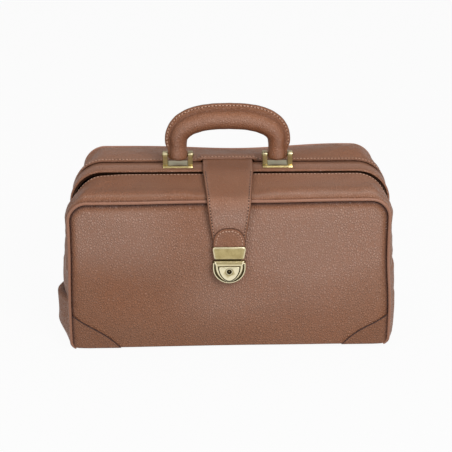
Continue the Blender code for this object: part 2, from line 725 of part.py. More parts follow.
def strap_line():
    """Outer face (y, z) of the strap's flap: over the gusset, round a bend and down the front."""
    bend_z = PANEL_TOP + PIPING_RADIUS + STRAP_STAND + STRAP_THICKNESS - STRAP_BEND_RADIUS
    bend_y = STRAP_FRONT_Y + STRAP_BEND_RADIUS
    start = math.pi / 2 + math.radians(STRAP_SLOPE) / 2
    points = [(STRAP_HINGE_Y, STRAP_TOP_Z)]
    for i in range(BEND_STEPS + 1):
        angle = start + (math.pi - start) * i / BEND_STEPS
        bend = STRAP_BEND_RADIUS * math.cos(angle), STRAP_BEND_RADIUS * math.sin(angle)
        points.append((bend_y + bend[0], bend_z + bend[1]))
    first_y, first_z = points[1]
    middle = (
        STRAP_HINGE_Y + (first_y - STRAP_HINGE_Y) / 2,
        (STRAP_TOP_Z + first_z + STRAP_THICKNESS) / 2,
    )
    points.insert(1, middle)
    points.append((STRAP_FRONT_Y, (bend_z + STRAP_END_HEIGHT) / 2))
    points.append((STRAP_FRONT_Y, STRAP_END_HEIGHT))
    return points


def add_strap():
    """The closure strap: its fixed root on the frame, the flap that lifts, and the tab on its end."""
    low = FRAME_TOP + CLEARANCE
    half = strap_width(0.0)
    rear = FRAME_REAR - CLEARANCE
    front = STRAP_HINGE_Y + CLEARANCE
    rings = []
    for x in (-half, half):
        rings.append([(x, front, low), (x, rear, low), (x, rear, STRAP_TOP_Z), (x, front, STRAP_TOP_Z)])
    add_object("strap_root", *loft(rings), "leather")

    lift = add_axis("strap_axis", (0.0, STRAP_HINGE_Y, STRAP_TOP_Z))
    line = strap_line()
    lengths = [0.0]
    for (y0, z0), (y1, z1) in zip(line, line[1:]):
        lengths.append(lengths[-1] + math.hypot(y1 - y0, z1 - z0))
    rings = []
    for i, (y, z) in enumerate(line):
        y0, z0 = line[max(i - 1, 0)]
        y1, z1 = line[min(i + 1, len(line) - 1)]
        length = math.hypot(y1 - y0, z1 - z0)
        under_y = y - STRAP_THICKNESS * (z1 - z0) / length
        under_z = z + STRAP_THICKNESS * (y1 - y0) / length
        if i == 0:
            under_y, under_z = y, z - STRAP_THICKNESS
        half = strap_width(lengths[i] / lengths[-1])
        rings.append([(-half, y, z), (half, y, z), (half, under_y, under_z), (-half, under_y, under_z)])
    add_object("strap_flap", *loft(rings), "leather", lift)

    radius = TAB_WIDTH / 2
    base = HASP_TOP + CLEARANCE
    rise = TAB_TOP - base
    turn = [math.pi * i / TAB_STEPS for i in range(TAB_STEPS + 1)]
    outline = [(radius * math.cos(angle), base + rise * math.sin(angle)) for angle in turn]
    back = STRAP_FRONT_Y - CLEARANCE
    rings = [[(x, y, z) for x, z in outline] for y in (back, back - TAB_THICKNESS)]
    add_object("strap_tab", *loft(rings), "patch", lift)
    add_hasp("lock_hasp", lift)


def add_hasp(name, lift):
    """The brass plate on the strap's end, with the tongue that tucks into the lock."""
    back = STRAP_FRONT_Y - CLEARANCE
    front = back - HASP_THICKNESS
    rings = []
    for y, inset in ((back, 0.0), (front + HASP_BEVEL, 0.0), (front, HASP_BEVEL)):
        top = HASP_TOP - inset
        bottom = HASP_BOTTOM + inset
        wide = HASP_TOP_WIDTH / 2 - inset
        narrow = HASP_BOTTOM_WIDTH / 2 - inset
        tongue = TONGUE_WIDTH / 2
        rings.append(
            [(-wide, y, top), (wide, y, top), (narrow, y, bottom), (tongue, y, bottom), (-tongue, y, bottom),
             (-narrow, y, bottom)]
        )
    hasp = add_object(name, *loft(rings), "brass", lift, flat=True)
    low = HASP_BOTTOM - TONGUE_LENGTH
    high = HASP_BOTTOM + HASP_BEVEL
    rings = []
    for x in (-TONGUE_WIDTH / 2, TONGUE_WIDTH / 2):
        y0 = back - CLEARANCE
        y1 = y0 - TONGUE_THICKNESS
        rings.append([(x, y0, low), (x, y1, low), (x, y1, high), (x, y0, high)])
    tongue = add_cutter("hasp_tongue", *loft(rings))
    join = hasp.modifiers.new("tongue", "BOOLEAN")
    join.operation = "UNION"
    join.solver = "EXACT"
    join.object = tongue
    return hasp


def half_round(width, top, centre, steps=14):
    """Outline (x, z) of a plate that is flat on top and half round below."""
    radius = width / 2
    points = [(-radius, top)]
    for i in range(steps + 1):
        angle = math.pi + math.pi * i / steps
        points.append((radius * math.cos(angle), centre + radius * math.sin(angle)))
    points.append((radius, top))
    return points


def add_lock():
    """The lock on the front panel: body, backing plate, sprung button and key cylinder."""
    front = LOCK_BACK_Y - LOCK_DEPTH
    rim = front + LOCK_RIM_STEP
    outline = half_round(LOCK_WIDTH, LOCK_TOP, LOCK_CENTRE)
    inset = half_round(LOCK_WIDTH - 2 * LOCK_RIM_STEP, LOCK_TOP - LOCK_RIM_STEP, LOCK_CENTRE)
    rings = [
        [(x, LOCK_BACK_Y, z) for x, z in outline],
        [(x, rim, z) for x, z in outline],
        [(x, front, z) for x, z in inset],
    ]
    body = add_object("lock_body", *loft(rings), "brass", flat=True)

    floor = LOCK_BACK_Y - POCKET_FLOOR
    pocket = half_round(BUTTON_WIDTH + 2 * RUNNING, BUTTON_TOP + RUNNING, BUTTON_CENTRE)
    rings = [[(x, y, z) for x, z in pocket] for y in (floor, front - LOCK_DEPTH)]
    cut(body, add_cutter("button_pocket", *loft(rings)))

    tongue_back = STRAP_FRONT_Y - 2 * CLEARANCE
    slot_back = tongue_back + CLEARANCE
    slot_front = tongue_back - TONGUE_THICKNESS - SLOT_FRONT_ROOM
    half = TONGUE_WIDTH / 2 + RUNNING
    rings = []
    for x in (-half, half):
        low = LOCK_TOP - SLOT_DEPTH
        high = LOCK_TOP + SLOT_DEPTH
        rings.append([(x, slot_back, low), (x, slot_front, low), (x, slot_front, high), (x, slot_back, high)])
    cut(body, add_cutter("tongue_slot", *loft(rings)))

    push = add_axis("button_axis", (0.0, front, BUTTON_CENTRE))
    face = front - BUTTON_PROUD
    back = face + BUTTON_THICKNESS
    shield = half_round(BUTTON_WIDTH, BUTTON_TOP, BUTTON_CENTRE)
    shield_inset = half_round(BUTTON_WIDTH - 2 * HASP_BEVEL, BUTTON_TOP - HASP_BEVEL, BUTTON_CENTRE)
    rings = [
        [(x, back, z) for x, z in shield],
        [(x, face + HASP_BEVEL, z) for x, z in shield],
        [(x, face, z) for x, z in shield_inset],
    ]
    button = add_object("lock_button", *loft(rings), "brass", push, flat=True)
    bore = CYLINDER_RADIUS + RUNNING
    centre = (0.0, face, KEY_HEIGHT)
    seat = -BUTTON_THICKNESS + POCKET_FLOOR
    cut(button, add_cutter("cylinder_bore", *turned(((seat, bore), (BUTTON_THICKNESS, bore)), centre, "Y")))

    turn = add_axis("cylinder_axis", centre)
    turn.parent = push
    turn.matrix_parent_inverse = Matrix.Translation(-push.location)
    profile = (
        (seat + CLEARANCE, CYLINDER_RADIUS),
        (0.0, CYLINDER_RADIUS),
        (0.0, KEYWAY_RADIUS),
        (-KEYWAY_DEPTH, KEYWAY_RADIUS),
        (-KEYWAY_DEPTH, KEY_PIN_RADIUS),
        (-CLEARANCE, KEY_PIN_RADIUS),
    )
    cylinder = add_object("lock_cylinder", *turned(profile, centre, "Y"), "brass", turn)
    cylinder.matrix_parent_inverse = Matrix.Translation(-Vector(centre))

    add_spring("lock_spring", back + CLEARANCE, floor - CLEARANCE)
    half_x = BACK_PLATE_WIDTH / 2
    half_z = BACK_PLATE_HEIGHT / 2
    inner = -(PANEL_OUTER_Y + crown(half_x, KEY_HEIGHT + half_z) - LEATHER - 2 * CLEARANCE)
    low, high = KEY_HEIGHT - half_z, KEY_HEIGHT + half_z
    outline = rounded_outline(half_x, low, high, RIVET_RADIUS, RIVET_RADIUS, 3, 2)
    rings = [[(x, y, z) for x, z in outline] for y in (inner, inner + BACK_PLATE_THICKNESS)]
    add_object("lock_back_plate", *loft(rings), "steel", flat=True)


def add_spring(name, near, far):
    """The coil that pushes the button out, from the pocket's floor to the button's back."""
    length = far - near - 2 * SPRING_WIRE
    points = COIL_STEPS * SPRING_TURNS
    rings = []
    for i in range(points + 1):
        angle = 2 * math.pi * SPRING_TURNS * i / points
        middle = near + SPRING_WIRE + length * i / points
        ring = []
        for j in range(WIRE_SIDES):
            around = 2 * math.pi * j / WIRE_SIDES
            radius = SPRING_RADIUS + SPRING_WIRE * math.cos(around)
            y = middle + SPRING_WIRE * math.sin(around)
            ring.append((radius * math.cos(angle), y, KEY_HEIGHT + radius * math.sin(angle)))
        rings.append(ring)
    return add_object(name, *loft(rings), "steel")


add_body()
add_frame()
add_handle()
add_strap()
add_lock()
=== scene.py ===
"""A leather doctor bag, dressed: soft body, framed mouth, handle, closure strap and tuck lock in a studio.

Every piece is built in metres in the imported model's frame: length along X, front towards -Y, floor at z = 0.
"""
import logging
import math
from dataclasses import dataclass
from enum import Enum
from typing import Sequence

import bmesh
import bpy
import numpy as np
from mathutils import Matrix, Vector


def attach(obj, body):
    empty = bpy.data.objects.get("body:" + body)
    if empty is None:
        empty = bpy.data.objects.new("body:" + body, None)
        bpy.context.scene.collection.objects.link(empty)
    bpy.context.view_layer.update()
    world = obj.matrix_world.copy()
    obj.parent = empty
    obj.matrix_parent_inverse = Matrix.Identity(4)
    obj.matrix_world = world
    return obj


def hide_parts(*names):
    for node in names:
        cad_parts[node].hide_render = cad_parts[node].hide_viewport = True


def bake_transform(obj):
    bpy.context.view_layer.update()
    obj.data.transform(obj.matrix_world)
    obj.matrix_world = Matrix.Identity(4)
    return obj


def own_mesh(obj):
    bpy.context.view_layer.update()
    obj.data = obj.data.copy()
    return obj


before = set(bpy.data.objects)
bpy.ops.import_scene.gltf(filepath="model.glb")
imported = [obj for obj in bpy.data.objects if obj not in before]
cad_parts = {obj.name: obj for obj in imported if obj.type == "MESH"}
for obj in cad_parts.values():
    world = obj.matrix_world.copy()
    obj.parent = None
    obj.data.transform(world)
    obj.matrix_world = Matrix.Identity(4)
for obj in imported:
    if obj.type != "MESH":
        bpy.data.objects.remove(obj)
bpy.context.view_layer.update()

LOG = logging.getLogger("doctor_bag")
SHADE = "shade"
IMAGE_PIXELS = 452.0

Colour = tuple[float, float, float]
Point = tuple[float, float, float]
Array = np.ndarray
Piece = bpy.types.Object
Material = bpy.types.Material
Socket = bpy.types.NodeSocket


class Place(Enum):
    """A place on the bag that pieces are named for."""

    @property
    def label(self) -> str:
        """The place's name as pieces carry it."""
        return self.name.lower()


class Side(Place):
    """The two faces of the bag, with the sign of Y on each."""

    FRONT = -1
    REAR = 1


class End(Place):
    """The two ends of the bag, with the sign of X on each."""

    LEFT = -1
    RIGHT = 1


class Body(str, Enum):
    """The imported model's bodies that a piece can ride on."""

    BAG = "bag"
    FRONT_FRAME = "front_frame"
    HANDLE = "handle"
    STRAP = "strap"
    BUTTON = "button"
    CYLINDER = "cylinder"


class Slot(str, Enum):
    """The record's material slots."""

    LEATHER = "brown_leather"
    PIPING = "piping_leather"
    BRASS = "antique_brass"
    STEEL = "frame_steel"
    BOARD = "base_board"
    LINING = "lining_cloth"


def tone(red: int, green: int, blue: int) -> Colour:
    """Turn a screen colour of 0 to 255 into the linear one that a shader takes."""
    shares = [value / 255.0 for value in (red, green, blue)]
    return tuple(s / 12.92 if s <= 0.04045 else ((s + 0.055) / 1.055) ** 2.4 for s in shares)


def ease(value: Array | float, low: float, high: float) -> Array:
    """Rise smoothly from 0 at low to 1 at high."""
    share = np.clip((np.asarray(value, float) - low) / (high - low), 0.0, 1.0)
    return share * share * (3 - 2 * share)


def hump(value: Array, centre: float, width: float) -> Array:
    """A soft bump of height 1 round a centre."""
    return np.exp(-(((value - centre) / width) ** 2))


class Ripple:
    """Slow seeded waves through space, for the uneven swell of soft leather."""

    def __init__(self, seed: int, length: float, count: int = 9) -> None:
        """Draw the waves.

        Args:
            seed: fixes the draw.
            length: the middle wavelength, in metres.
            count: how many waves are summed.
        """
        draw = np.random.default_rng(seed)
        heading = draw.normal(size=(count, 3))
        heading /= np.linalg.norm(heading, axis=1)[:, None]
        self.waves = heading * (2 * math.pi / length) * draw.uniform(0.6, 1.6, (count, 1))
        self.phases = draw.uniform(0, 2 * math.pi, count)

    def at(self, points: Array) -> Array:
        """Read the waves at points; the answer stays near -1 to 1."""
        return np.sin(points @ self.waves.T + self.phases).sum(-1) / math.sqrt(len(self.phases)) * 0.8


@dataclass(frozen=True)
class BagLayout:
    """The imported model's main sizes, in metres, that several sub-assemblies share."""

    half_length: float = 0.198
    half_depth: float = 0.100
    panel_top: float = 0.200
    front_radius: float = 0.0235
    rear_radius: float = 0.029
    bottom_radius: float = 0.009
    panel_edge: float = 0.0019
    base: float = 0.0053
    gusset_edge: float = 0.0972
    gusset_rise: float = 0.001
    split_height: float = 0.107
    frame_half: float = 0.205
    frame_top: float = 0.211
    frame_radius: float = 0.042
    frame_front: float = -0.022
    frame_rear: float = 0.011
    pivot_height: float = 0.116
    ear_radius: float = 0.008
    hem_depth: float = 0.0048
    pin_height: float = 0.2248
    strap_top: float = 0.2143
    strap_front: float = -0.1116
    strap_thickness: float = 0.003
    lock_back: float = -0.1086

    @property
    def leg_top(self) -> float:
        """Height where a frame leg ends and the corner starts."""
        return self.frame_top - self.frame_radius

    def seam_radius(self, side: Side) -> float:
        """Radius of a panel's upper corners at its piping."""
        return self.front_radius if side is Side.FRONT else self.rear_radius

    def leg_edges(self, height: float) -> tuple[float, float]:
        """Front and rear edge of a frame leg.

        Args:
            height: where on the leg, in metres above the floor.
        Returns:
            The Y of the front edge and of the rear edge.
        """
        if height < self.pivot_height:
            drop = self.pivot_height - height
            half = math.sqrt(max(self.ear_radius ** 2 - drop ** 2, 0.0))
            return -half, half
        share = float(ease(height, self.pivot_height, self.leg_top))
        front = -self.ear_radius + (self.frame_front + self.ear_radius) * share
        rear = self.ear_radius + (self.frame_rear - self.ear_radius) * share
        return front, rear


LAYOUT = BagLayout()


def arch(half: float, top: float, radius: float, legs: Sequence[float], across: int = 150) -> Array:
    """Walk up the left leg, over the top and down the right leg of a round-cornered arch.

    Args:
        half: half the arch's width.
        top: its height.
        radius: its corner radius.
        legs: heights of a leg's points, from its foot up.
        across: steps along the top.
    Returns:
        Rows of x, z, outward x and outward z.
    """
    turns = 16
    corner_x, corner_z = half - radius, top - radius
    left = [(-half, z, -1.0, 0.0) for z in legs]
    for step in range(turns + 1):
        angle = math.pi - math.pi / 2 * step / turns
        c, s = math.cos(angle), math.sin(angle)
        left.append((-corner_x + radius * c, corner_z + radius * s, c, s))
    middle = [(-corner_x + 2 * corner_x * i / across, top, 0.0, 1.0) for i in range(1, across)]
    right = [(-x, z, -c, s) for x, z, c, s in reversed(left)]
    return np.array(left + middle + right)


@dataclass(frozen=True)
class Slouch:
    """How far the used leather body leans and sags, in metres."""

    rear_dip: float = 0.0040
    rear_rise: float = 0.0022
    front_tilt: float = 0.0016
    right_flare: float = 0.0032
    left_draw: float = 0.0006
    frame_lean: float = 0.0058
    left_sag: float = 0.0024
    right_lift: float = 0.0008
    seam_draw: float = 0.0020


def settle(points: Array, by: Slouch = Slouch()) -> Array:
    """Lean and sag the leather body a little, alike for all its pieces so that they stay joined.

    Args:
        points: positions, with x, y and z last.
        by: how far it leans and sags.
    Returns:
        The moved positions.
    """
    moved = np.array(points, float)
    x, y, z = moved[..., 0], moved[..., 1], moved[..., 2]
    rear, front = ease(y, 0.02, 0.085), ease(-y, 0.05, 0.098)
    rise = rear * (by.rear_rise * hump(x, 0.145, 0.06) - by.rear_dip * hump(x, 0.012, 0.075))
    rise += front * (by.front_tilt * ease(x, 0.03, 0.15) - by.front_tilt * ease(-x, 0.03, 0.15))
    flare = by.right_flare * ease(x, 0.12, 0.19) - by.left_draw * ease(-x, 0.12, 0.19)
    flare = flare * (1 - ease(z, 0.05, 0.13))
    lean = by.frame_lean * ease(y, -0.092, -0.03) * ease(-x, 0.11, 0.19) * ease(z, 0.118, 0.172)
    sag = by.left_sag * ease(-x, -0.05, 0.19) - by.right_lift * ease(x, 0.06, 0.19)
    low = front * (1 - ease(z, 0.02, 0.09))
    moved[..., 2] = z + ease(z, 0.11, 0.198) * rise - low * sag
    drawn = ease(np.abs(x), 0.13, 0.19) * ease(np.abs(y), 0.094, 0.098) * ease(z, 0.05, 0.16)
    moved[..., 0] = x + flare + lean - np.sign(x) * by.seam_draw * drawn
    return moved


def smooth(mesh: bpy.types.Mesh, crease: float) -> None:
    """Shade a mesh smooth, with edges sharper than this many degrees left crisp."""
    mesh.shade_smooth()
    mesh.set_sharp_from_angle(angle=math.radians(crease))


def make_piece(
    name: str,
    points: Array,
    faces: Sequence[Sequence[int]],
    shade: Array | None = None,
    marks: Sequence[int] | None = None,
    crease: float = 40.0,
) -> Piece:
    """Make an object at the origin from points and faces, merged and facing outwards.

    Args:
        name: the piece's name.
        points: its corner positions.
        faces: corner numbers of each face.
        shade: each corner's painted shade, up to 1; below 0 it is a painted highlight.
        marks: each face's material number.
        crease: edges sharper than this many degrees stay crisp.
    Returns:
        The new object.
    """
    mesh = bpy.data.meshes.new(name)
    mesh.from_pydata([tuple(map(float, p)) for p in np.asarray(points).reshape(-1, 3)], [], list(faces))
    if shade is not None:
        layer = mesh.attributes.new(SHADE, "FLOAT", "POINT")
        layer.data.foreach_set("value", np.asarray(shade, np.float32).ravel())
    if marks is not None:
        mesh.polygons.foreach_set("material_index", np.asarray(marks, np.int32))
    shape = bmesh.new()
    shape.from_mesh(mesh)
    bmesh.ops.remove_doubles(shape, verts=shape.verts, dist=1e-6)
    bmesh.ops.dissolve_degenerate(shape, edges=shape.edges, dist=1e-7)
    bmesh.ops.recalc_face_normals(shape, faces=shape.faces)
    shape.to_mesh(mesh)
    shape.free()
    smooth(mesh, crease)
    piece = bpy.data.objects.new(name, mesh)
    bpy.context.scene.collection.objects.link(piece)
    return piece


def ring_faces(rings: int, count: int, start: int = 0) -> list[tuple[int, ...]]:
    """Faces between rings of points, with an end face on each end.

    Args:
        rings: how many rings there are.
        count: points in each ring.
        start: number of the first point.
    Returns:
        The faces' corner numbers.
    """
    faces: list[tuple[int, ...]] = []
    for i in range(rings - 1):
        here, there = start + i * count, start + (i + 1) * count
        for j in range(count):
            k = (j + 1) % count
            faces.append((here + j, here + k, there + k, there + j))
    last = start + (rings - 1) * count
    return [*faces, tuple(range(start, start + count)), tuple(range(last, last + count))]


def loft(name: str, rings: Array, shade: Array | None = None, crease: float = 40.0) -> Piece:
    """Join rings of points into one closed skin."""
    return make_piece(name, rings, ring_faces(*rings.shape[:2]), shade, crease=crease)


def shell(name: str, grid: Array, thickness: float, centre: Point, shade: Array | None = None) -> Piece:
    """Give a grid of points a thickness towards a centre and close its rim.

    Args:
        name: the piece's name.
        grid: outer positions, as rows by columns by three.
        thickness: how far the inner face lies behind the outer one.
        centre: a point on the inner side.
        shade: how far each outer point darkens.
    Returns:
        The new object.
    """
    rows, columns = grid.shape[:2]
    normal = np.cross(np.gradient(grid, axis=0), np.gradient(grid, axis=1))
    normal /= np.maximum(np.linalg.norm(normal, axis=-1), 1e-12)[..., None]
    if (normal * (grid - np.array(centre))).sum() < 0:
        normal = -normal
    points = np.concatenate([grid.reshape(-1, 3), (grid - normal * thickness).reshape(-1, 3)])
    back = rows * columns
    faces = []
    for i in range(rows - 1):
        for j in range(columns - 1):
            a, b = i * columns + j, (i + 1) * columns + j
            faces.append((a, a + 1, b + 1, b))
            faces.append((back + a, back + b, back + b + 1, back + a + 1))
    rim = list(range(columns))
    rim += [i * columns + columns - 1 for i in range(1, rows)]
    rim += [(rows - 1) * columns + j for j in range(columns - 2, -1, -1)]
    rim += [i * columns for i in range(rows - 2, 0, -1)]
    for here, there in zip(rim, rim[1:] + rim[:1]):
        faces.append((here, back + here, back + there, there))
    doubled = None if shade is None else np.concatenate([shade.ravel(), shade.ravel()])
    return make_piece(name, points, faces, doubled)


def spun(profile: Sequence[tuple[float, float]], origin: Point, axis: Point, sides: int = 32) -> Array:
    """Rings of a turned shape.

    Args:
        profile: pairs of distance along the axis and radius.
        origin: where distance is 0.
        axis: the direction of distance.
        sides: points in each ring.
    Returns:
        Positions, as rings by points by three.
    """
    along = Vector(axis).normalized()
    across = along.orthogonal().normalized()
    aside = along.cross(across)
    rings = []
    for distance, radius in profile:
        middle = Vector(origin) + along * distance
        ring = []
        for i in range(sides):
            angle = 2 * math.pi * i / sides
            ring.append(middle + radius * (math.cos(angle) * across + math.sin(angle) * aside))
        rings.append([tuple(p) for p in ring])
    return np.array(rings)


def banded(shades: Sequence[float], count: int) -> Array:
    """One darkening for each ring, given to every point of it."""
    return np.repeat(np.array(shades, float)[:, None], count, axis=1)


def gather(name: str, parts: Sequence[Array], shades: Sequence[Array] | None = None) -> Piece:
    """Make one object of several lofted shapes.

    Args:
        name: the piece's name.
        parts: each shape's rings of points.
        shades: each shape's darkening, alike in layout.
    Returns:
        The new object.
    """
    points, faces, count = [], [], 0
    for rings in parts:
        faces += ring_faces(*rings.shape[:2], count)
        points.append(rings.reshape(-1, 3))
        count += rings.shape[0] * rings.shape[1]
    shade = None if shades is None else np.concatenate([s.ravel() for s in shades])
    return make_piece(name, np.concatenate(points), faces, shade)


def apply_modifiers(piece: Piece) -> Piece:
    """Turn a piece's evaluated shape into its plain mesh and drop its modifiers.

    Args:
        piece: the object to finish.
    Returns:
        The same object.
    """
    evaluated = piece.evaluated_get(bpy.context.evaluated_depsgraph_get())
    mesh = bpy.data.meshes.new_from_object(evaluated)
    mesh.name = piece.name
    piece.modifiers.clear()
    piece.data = mesh
    return piece


def carve(piece: Piece, *cutters: Piece) -> Piece:
    """Cut shapes out of a piece and remove the cutters.

    Args:
        piece: the object that is cut.
        cutters: the shapes taken out of it.
    Returns:
        The cut piece.
    """
    for cutter in cutters:
        cut = piece.modifiers.new(cutter.name, "BOOLEAN")
        cut.operation = "DIFFERENCE"
        cut.solver = "EXACT"
        cut.object = cutter
    apply_modifiers(piece)
    for cutter in cutters:
        bpy.data.objects.remove(cutter, do_unlink=True)
    smooth(piece.data, 35.0)
    return piece


def fit(piece: Piece, finish: Material, body: Body, slot: Slot, *nodes: str) -> Piece:
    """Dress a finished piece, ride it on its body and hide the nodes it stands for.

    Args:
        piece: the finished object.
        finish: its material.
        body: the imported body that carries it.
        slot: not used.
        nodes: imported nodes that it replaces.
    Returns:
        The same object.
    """
    if not piece.data.materials:
        piece.data.materials.append(finish)
    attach(piece, body.value)
    return declare(piece, slot, *nodes)


def declare(piece: Piece, slot: Slot, *nodes: str) -> Piece:
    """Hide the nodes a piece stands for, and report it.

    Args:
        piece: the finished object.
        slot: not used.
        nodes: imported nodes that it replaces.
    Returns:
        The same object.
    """
    if nodes:
        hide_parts(*nodes)
    LOG.info("%s: %d faces", piece.name, len(piece.data.polygons))
    return piece


class NodeGraph:
    """A node tree, with short ways to add and join its nodes."""

    def __init__(self, tree: bpy.types.NodeTree) -> None:
        """Take hold of the tree."""
        self.tree = tree

    def add(self, kind: str, **inputs: object) -> bpy.types.Node:
        """Add a node and set or join its inputs.

        Args:
            kind: the node's type.
            inputs: values or output sockets, by input name with spaces as underscores.
        Returns:
            The new node.
        """
        node = self.tree.nodes.new(kind)
        for key, value in inputs.items():
            self.put(node.inputs[key.replace("_", " ")], value)
        return node

    def put(self, socket: Socket, value: object) -> None:
        """Set a socket, or join an output to it."""
        if isinstance(value, Socket):
            self.tree.links.new(value, socket)
        else:
            socket.default_value = value

    def maths(self, operation: str, *values: object, clamp: bool = False) -> Socket:
        """Add a Math node.

        Args:
            operation: what it does.
            values: its numbers or sockets, in order.
            clamp: whether the answer is kept from 0 to 1.
        Returns:
            Its output.
        """
        node = self.tree.nodes.new("ShaderNodeMath")
        node.operation = operation
        node.use_clamp = clamp
        for socket, value in zip(node.inputs, values):
            self.put(socket, value)
        return node.outputs[0]


class NodeSheet(NodeGraph):
    """A material's node tree round its Principled shader."""

    def __init__(self, name: str) -> None:
        """Start a material of this name."""
        self.material = bpy.data.materials.new(name)
        self.material.use_nodes = True
        super().__init__(self.material.node_tree)
        self.shader = self.tree.nodes["Principled BSDF"]
        self.place = self.add("ShaderNodeTexCoord").outputs["Object"]

    def times(self, value: object, factor: object, clamp: bool = False) -> Socket:
        """A value multiplied by a factor."""
        return self.maths("MULTIPLY", value, factor, clamp=clamp)

    def mix(self, share: object, first: object, second: object) -> Socket:
        """Mix two colours.

        Args:
            share: 0 gives the first, 1 the second.
            first, second: colours or sockets.
        Returns:
            The mixed colour's socket.
        """
        node = self.tree.nodes.new("ShaderNodeMix")
        node.data_type = "RGBA"
        self.put(node.inputs["Factor"], share)
        for socket, value in zip((node.inputs[6], node.inputs[7]), (first, second)):
            self.put(socket, (*value, 1.0) if isinstance(value, tuple) else value)
        return node.outputs[2]

    def noise(self, scale: float, detail: float = 3.0, rough: float = 0.55) -> Socket:
        """Fractal noise on the piece's own coordinates, with its scale per metre."""
        node = self.add("ShaderNodeTexNoise", Vector=self.place, Scale=scale, Detail=detail, Roughness=rough)
        return node.outputs[0]

    def span(self, value: object, low: float, high: float, start: float = 0.0, end: float = 1.0) -> Socket:
        """Map a value from one range to another, kept inside it.

        Args:
            value: the socket to map.
            low, high: the range that comes in.
            start, end: the range that goes out.
        Returns:
            The mapped socket.
        """
        node = self.tree.nodes.new("ShaderNodeMapRange")
        for socket, number in zip(node.inputs, (value, low, high, start, end)):
            self.put(socket, number)
        return node.outputs[0]

    def shade(self) -> Socket:
        """The piece's painted shade, 0 where it has none; below 0 it is painted highlight and sheen."""
        node = self.tree.nodes.new("ShaderNodeAttribute")
        node.attribute_name = SHADE
        return node.outputs["Fac"]

    def bump(self, height: object, distance: float, strength: float, under: object = None) -> Socket:
        """Add relief to the shader's normal.

        Args:
            height: the relief's socket.
            distance: its depth, in metres.
            strength: how much of it shows.
            under: a normal that it is added to.
        Returns:
            The new normal's socket.
        """
        node = self.add("ShaderNodeBump", Height=height, Distance=distance, Strength=strength)
        if under is not None:
            self.put(node.inputs["Normal"], under)
        return node.outputs[0]

    def finish(self, **inputs: object) -> Material:
        """Set or join the shader's inputs.

        Args:
            inputs: values or sockets, by input name with spaces as underscores.
        Returns:
            The finished material.
        """
        for key, value in inputs.items():
            self.put(self.shader.inputs[key.replace("_", " ")], value)
        return self.material


@dataclass(frozen=True)
class PebbledLeather:
    """Tumbled leather with a rounded grain, with painted shade in its grain's valleys and seams and a paler
    painted sheen where its shade is below 0.
    """

    name: str
    base: Colour
    warm: Colour
    pale: Colour
    deep: Colour
    pebble: float = 0.0025
    relief: float = 0.0009
    roughness: float = 0.42
    # colour of the painted sheen
    bloom: Colour = tone(183, 150, 135)

    def build(self) -> Material:
        """Build the finish.

        Returns:
            The material.
        """
        sheet = NodeSheet(self.name)
        drift = sheet.add("ShaderNodeTexNoise", Vector=sheet.place, Scale=0.5 / self.pebble, Detail=1.0)
        bend = sheet.tree.nodes.new("ShaderNodeVectorMath")
        bend.operation = "MULTIPLY_ADD"
        warp = (drift.outputs["Color"], (self.pebble * 0.9,) * 3, sheet.place)
        for socket, value in zip(bend.inputs, warp):
            sheet.put(socket, value)
        slant = sheet.add("ShaderNodeMapping", Vector=bend.outputs[0], Rotation=(0.3, 0.6, 0.2))
        slant.inputs["Scale"].default_value = (1.0, 1.0, 0.68)
        cells = sheet.add("ShaderNodeTexVoronoi", Vector=slant.outputs[0], Scale=1.0 / self.pebble)
        cells.feature = "DISTANCE_TO_EDGE"
        crown = sheet.span(cells.outputs["Distance"], 0.0, 0.34)
        valley = sheet.maths("SUBTRACT", 1.0, crown)
        slow = sheet.span(sheet.noise(11.0), 0.36, 0.66)
        patchy = sheet.span(sheet.noise(46.0, 4.0, 0.6), 0.35, 0.7)
        colour = sheet.mix(sheet.times(slow, 0.75), self.base, self.warm)
        colour = sheet.mix(sheet.times(patchy, 0.28), colour, self.pale)
        # painted shade: darker in the grain's valleys
        colour = sheet.mix(sheet.times(valley, 0.16), colour, self.deep)
        # painted sheen: paler where the piece's shade is below 0, most on the grain's crowns
        painted_sheen_share = sheet.times(sheet.times(sheet.shade(), -1.0, True), sheet.span(crown, 0.0, 1.0, 0.55, 1.35))
        colour = sheet.mix(painted_sheen_share, colour, self.bloom)
        # painted shade: darker where the piece's shade is above 0, at seams, creases, edges and undersides
        colour = sheet.mix(sheet.times(sheet.shade(), 0.95, True), colour, self.deep)
        gloss = sheet.maths("MULTIPLY_ADD", patchy, 0.10, self.roughness - 0.05)
        gloss = sheet.maths("MULTIPLY_ADD", valley, 0.14, gloss)
        normal = sheet.bump(crown, self.relief, 0.8)
        normal = sheet.bump(sheet.noise(2600.0, 2.0), 0.00006, 0.35, normal)
        return sheet.finish(Base_Color=colour, Roughness=gloss, Specular_IOR_Level=0.45, Normal=normal)


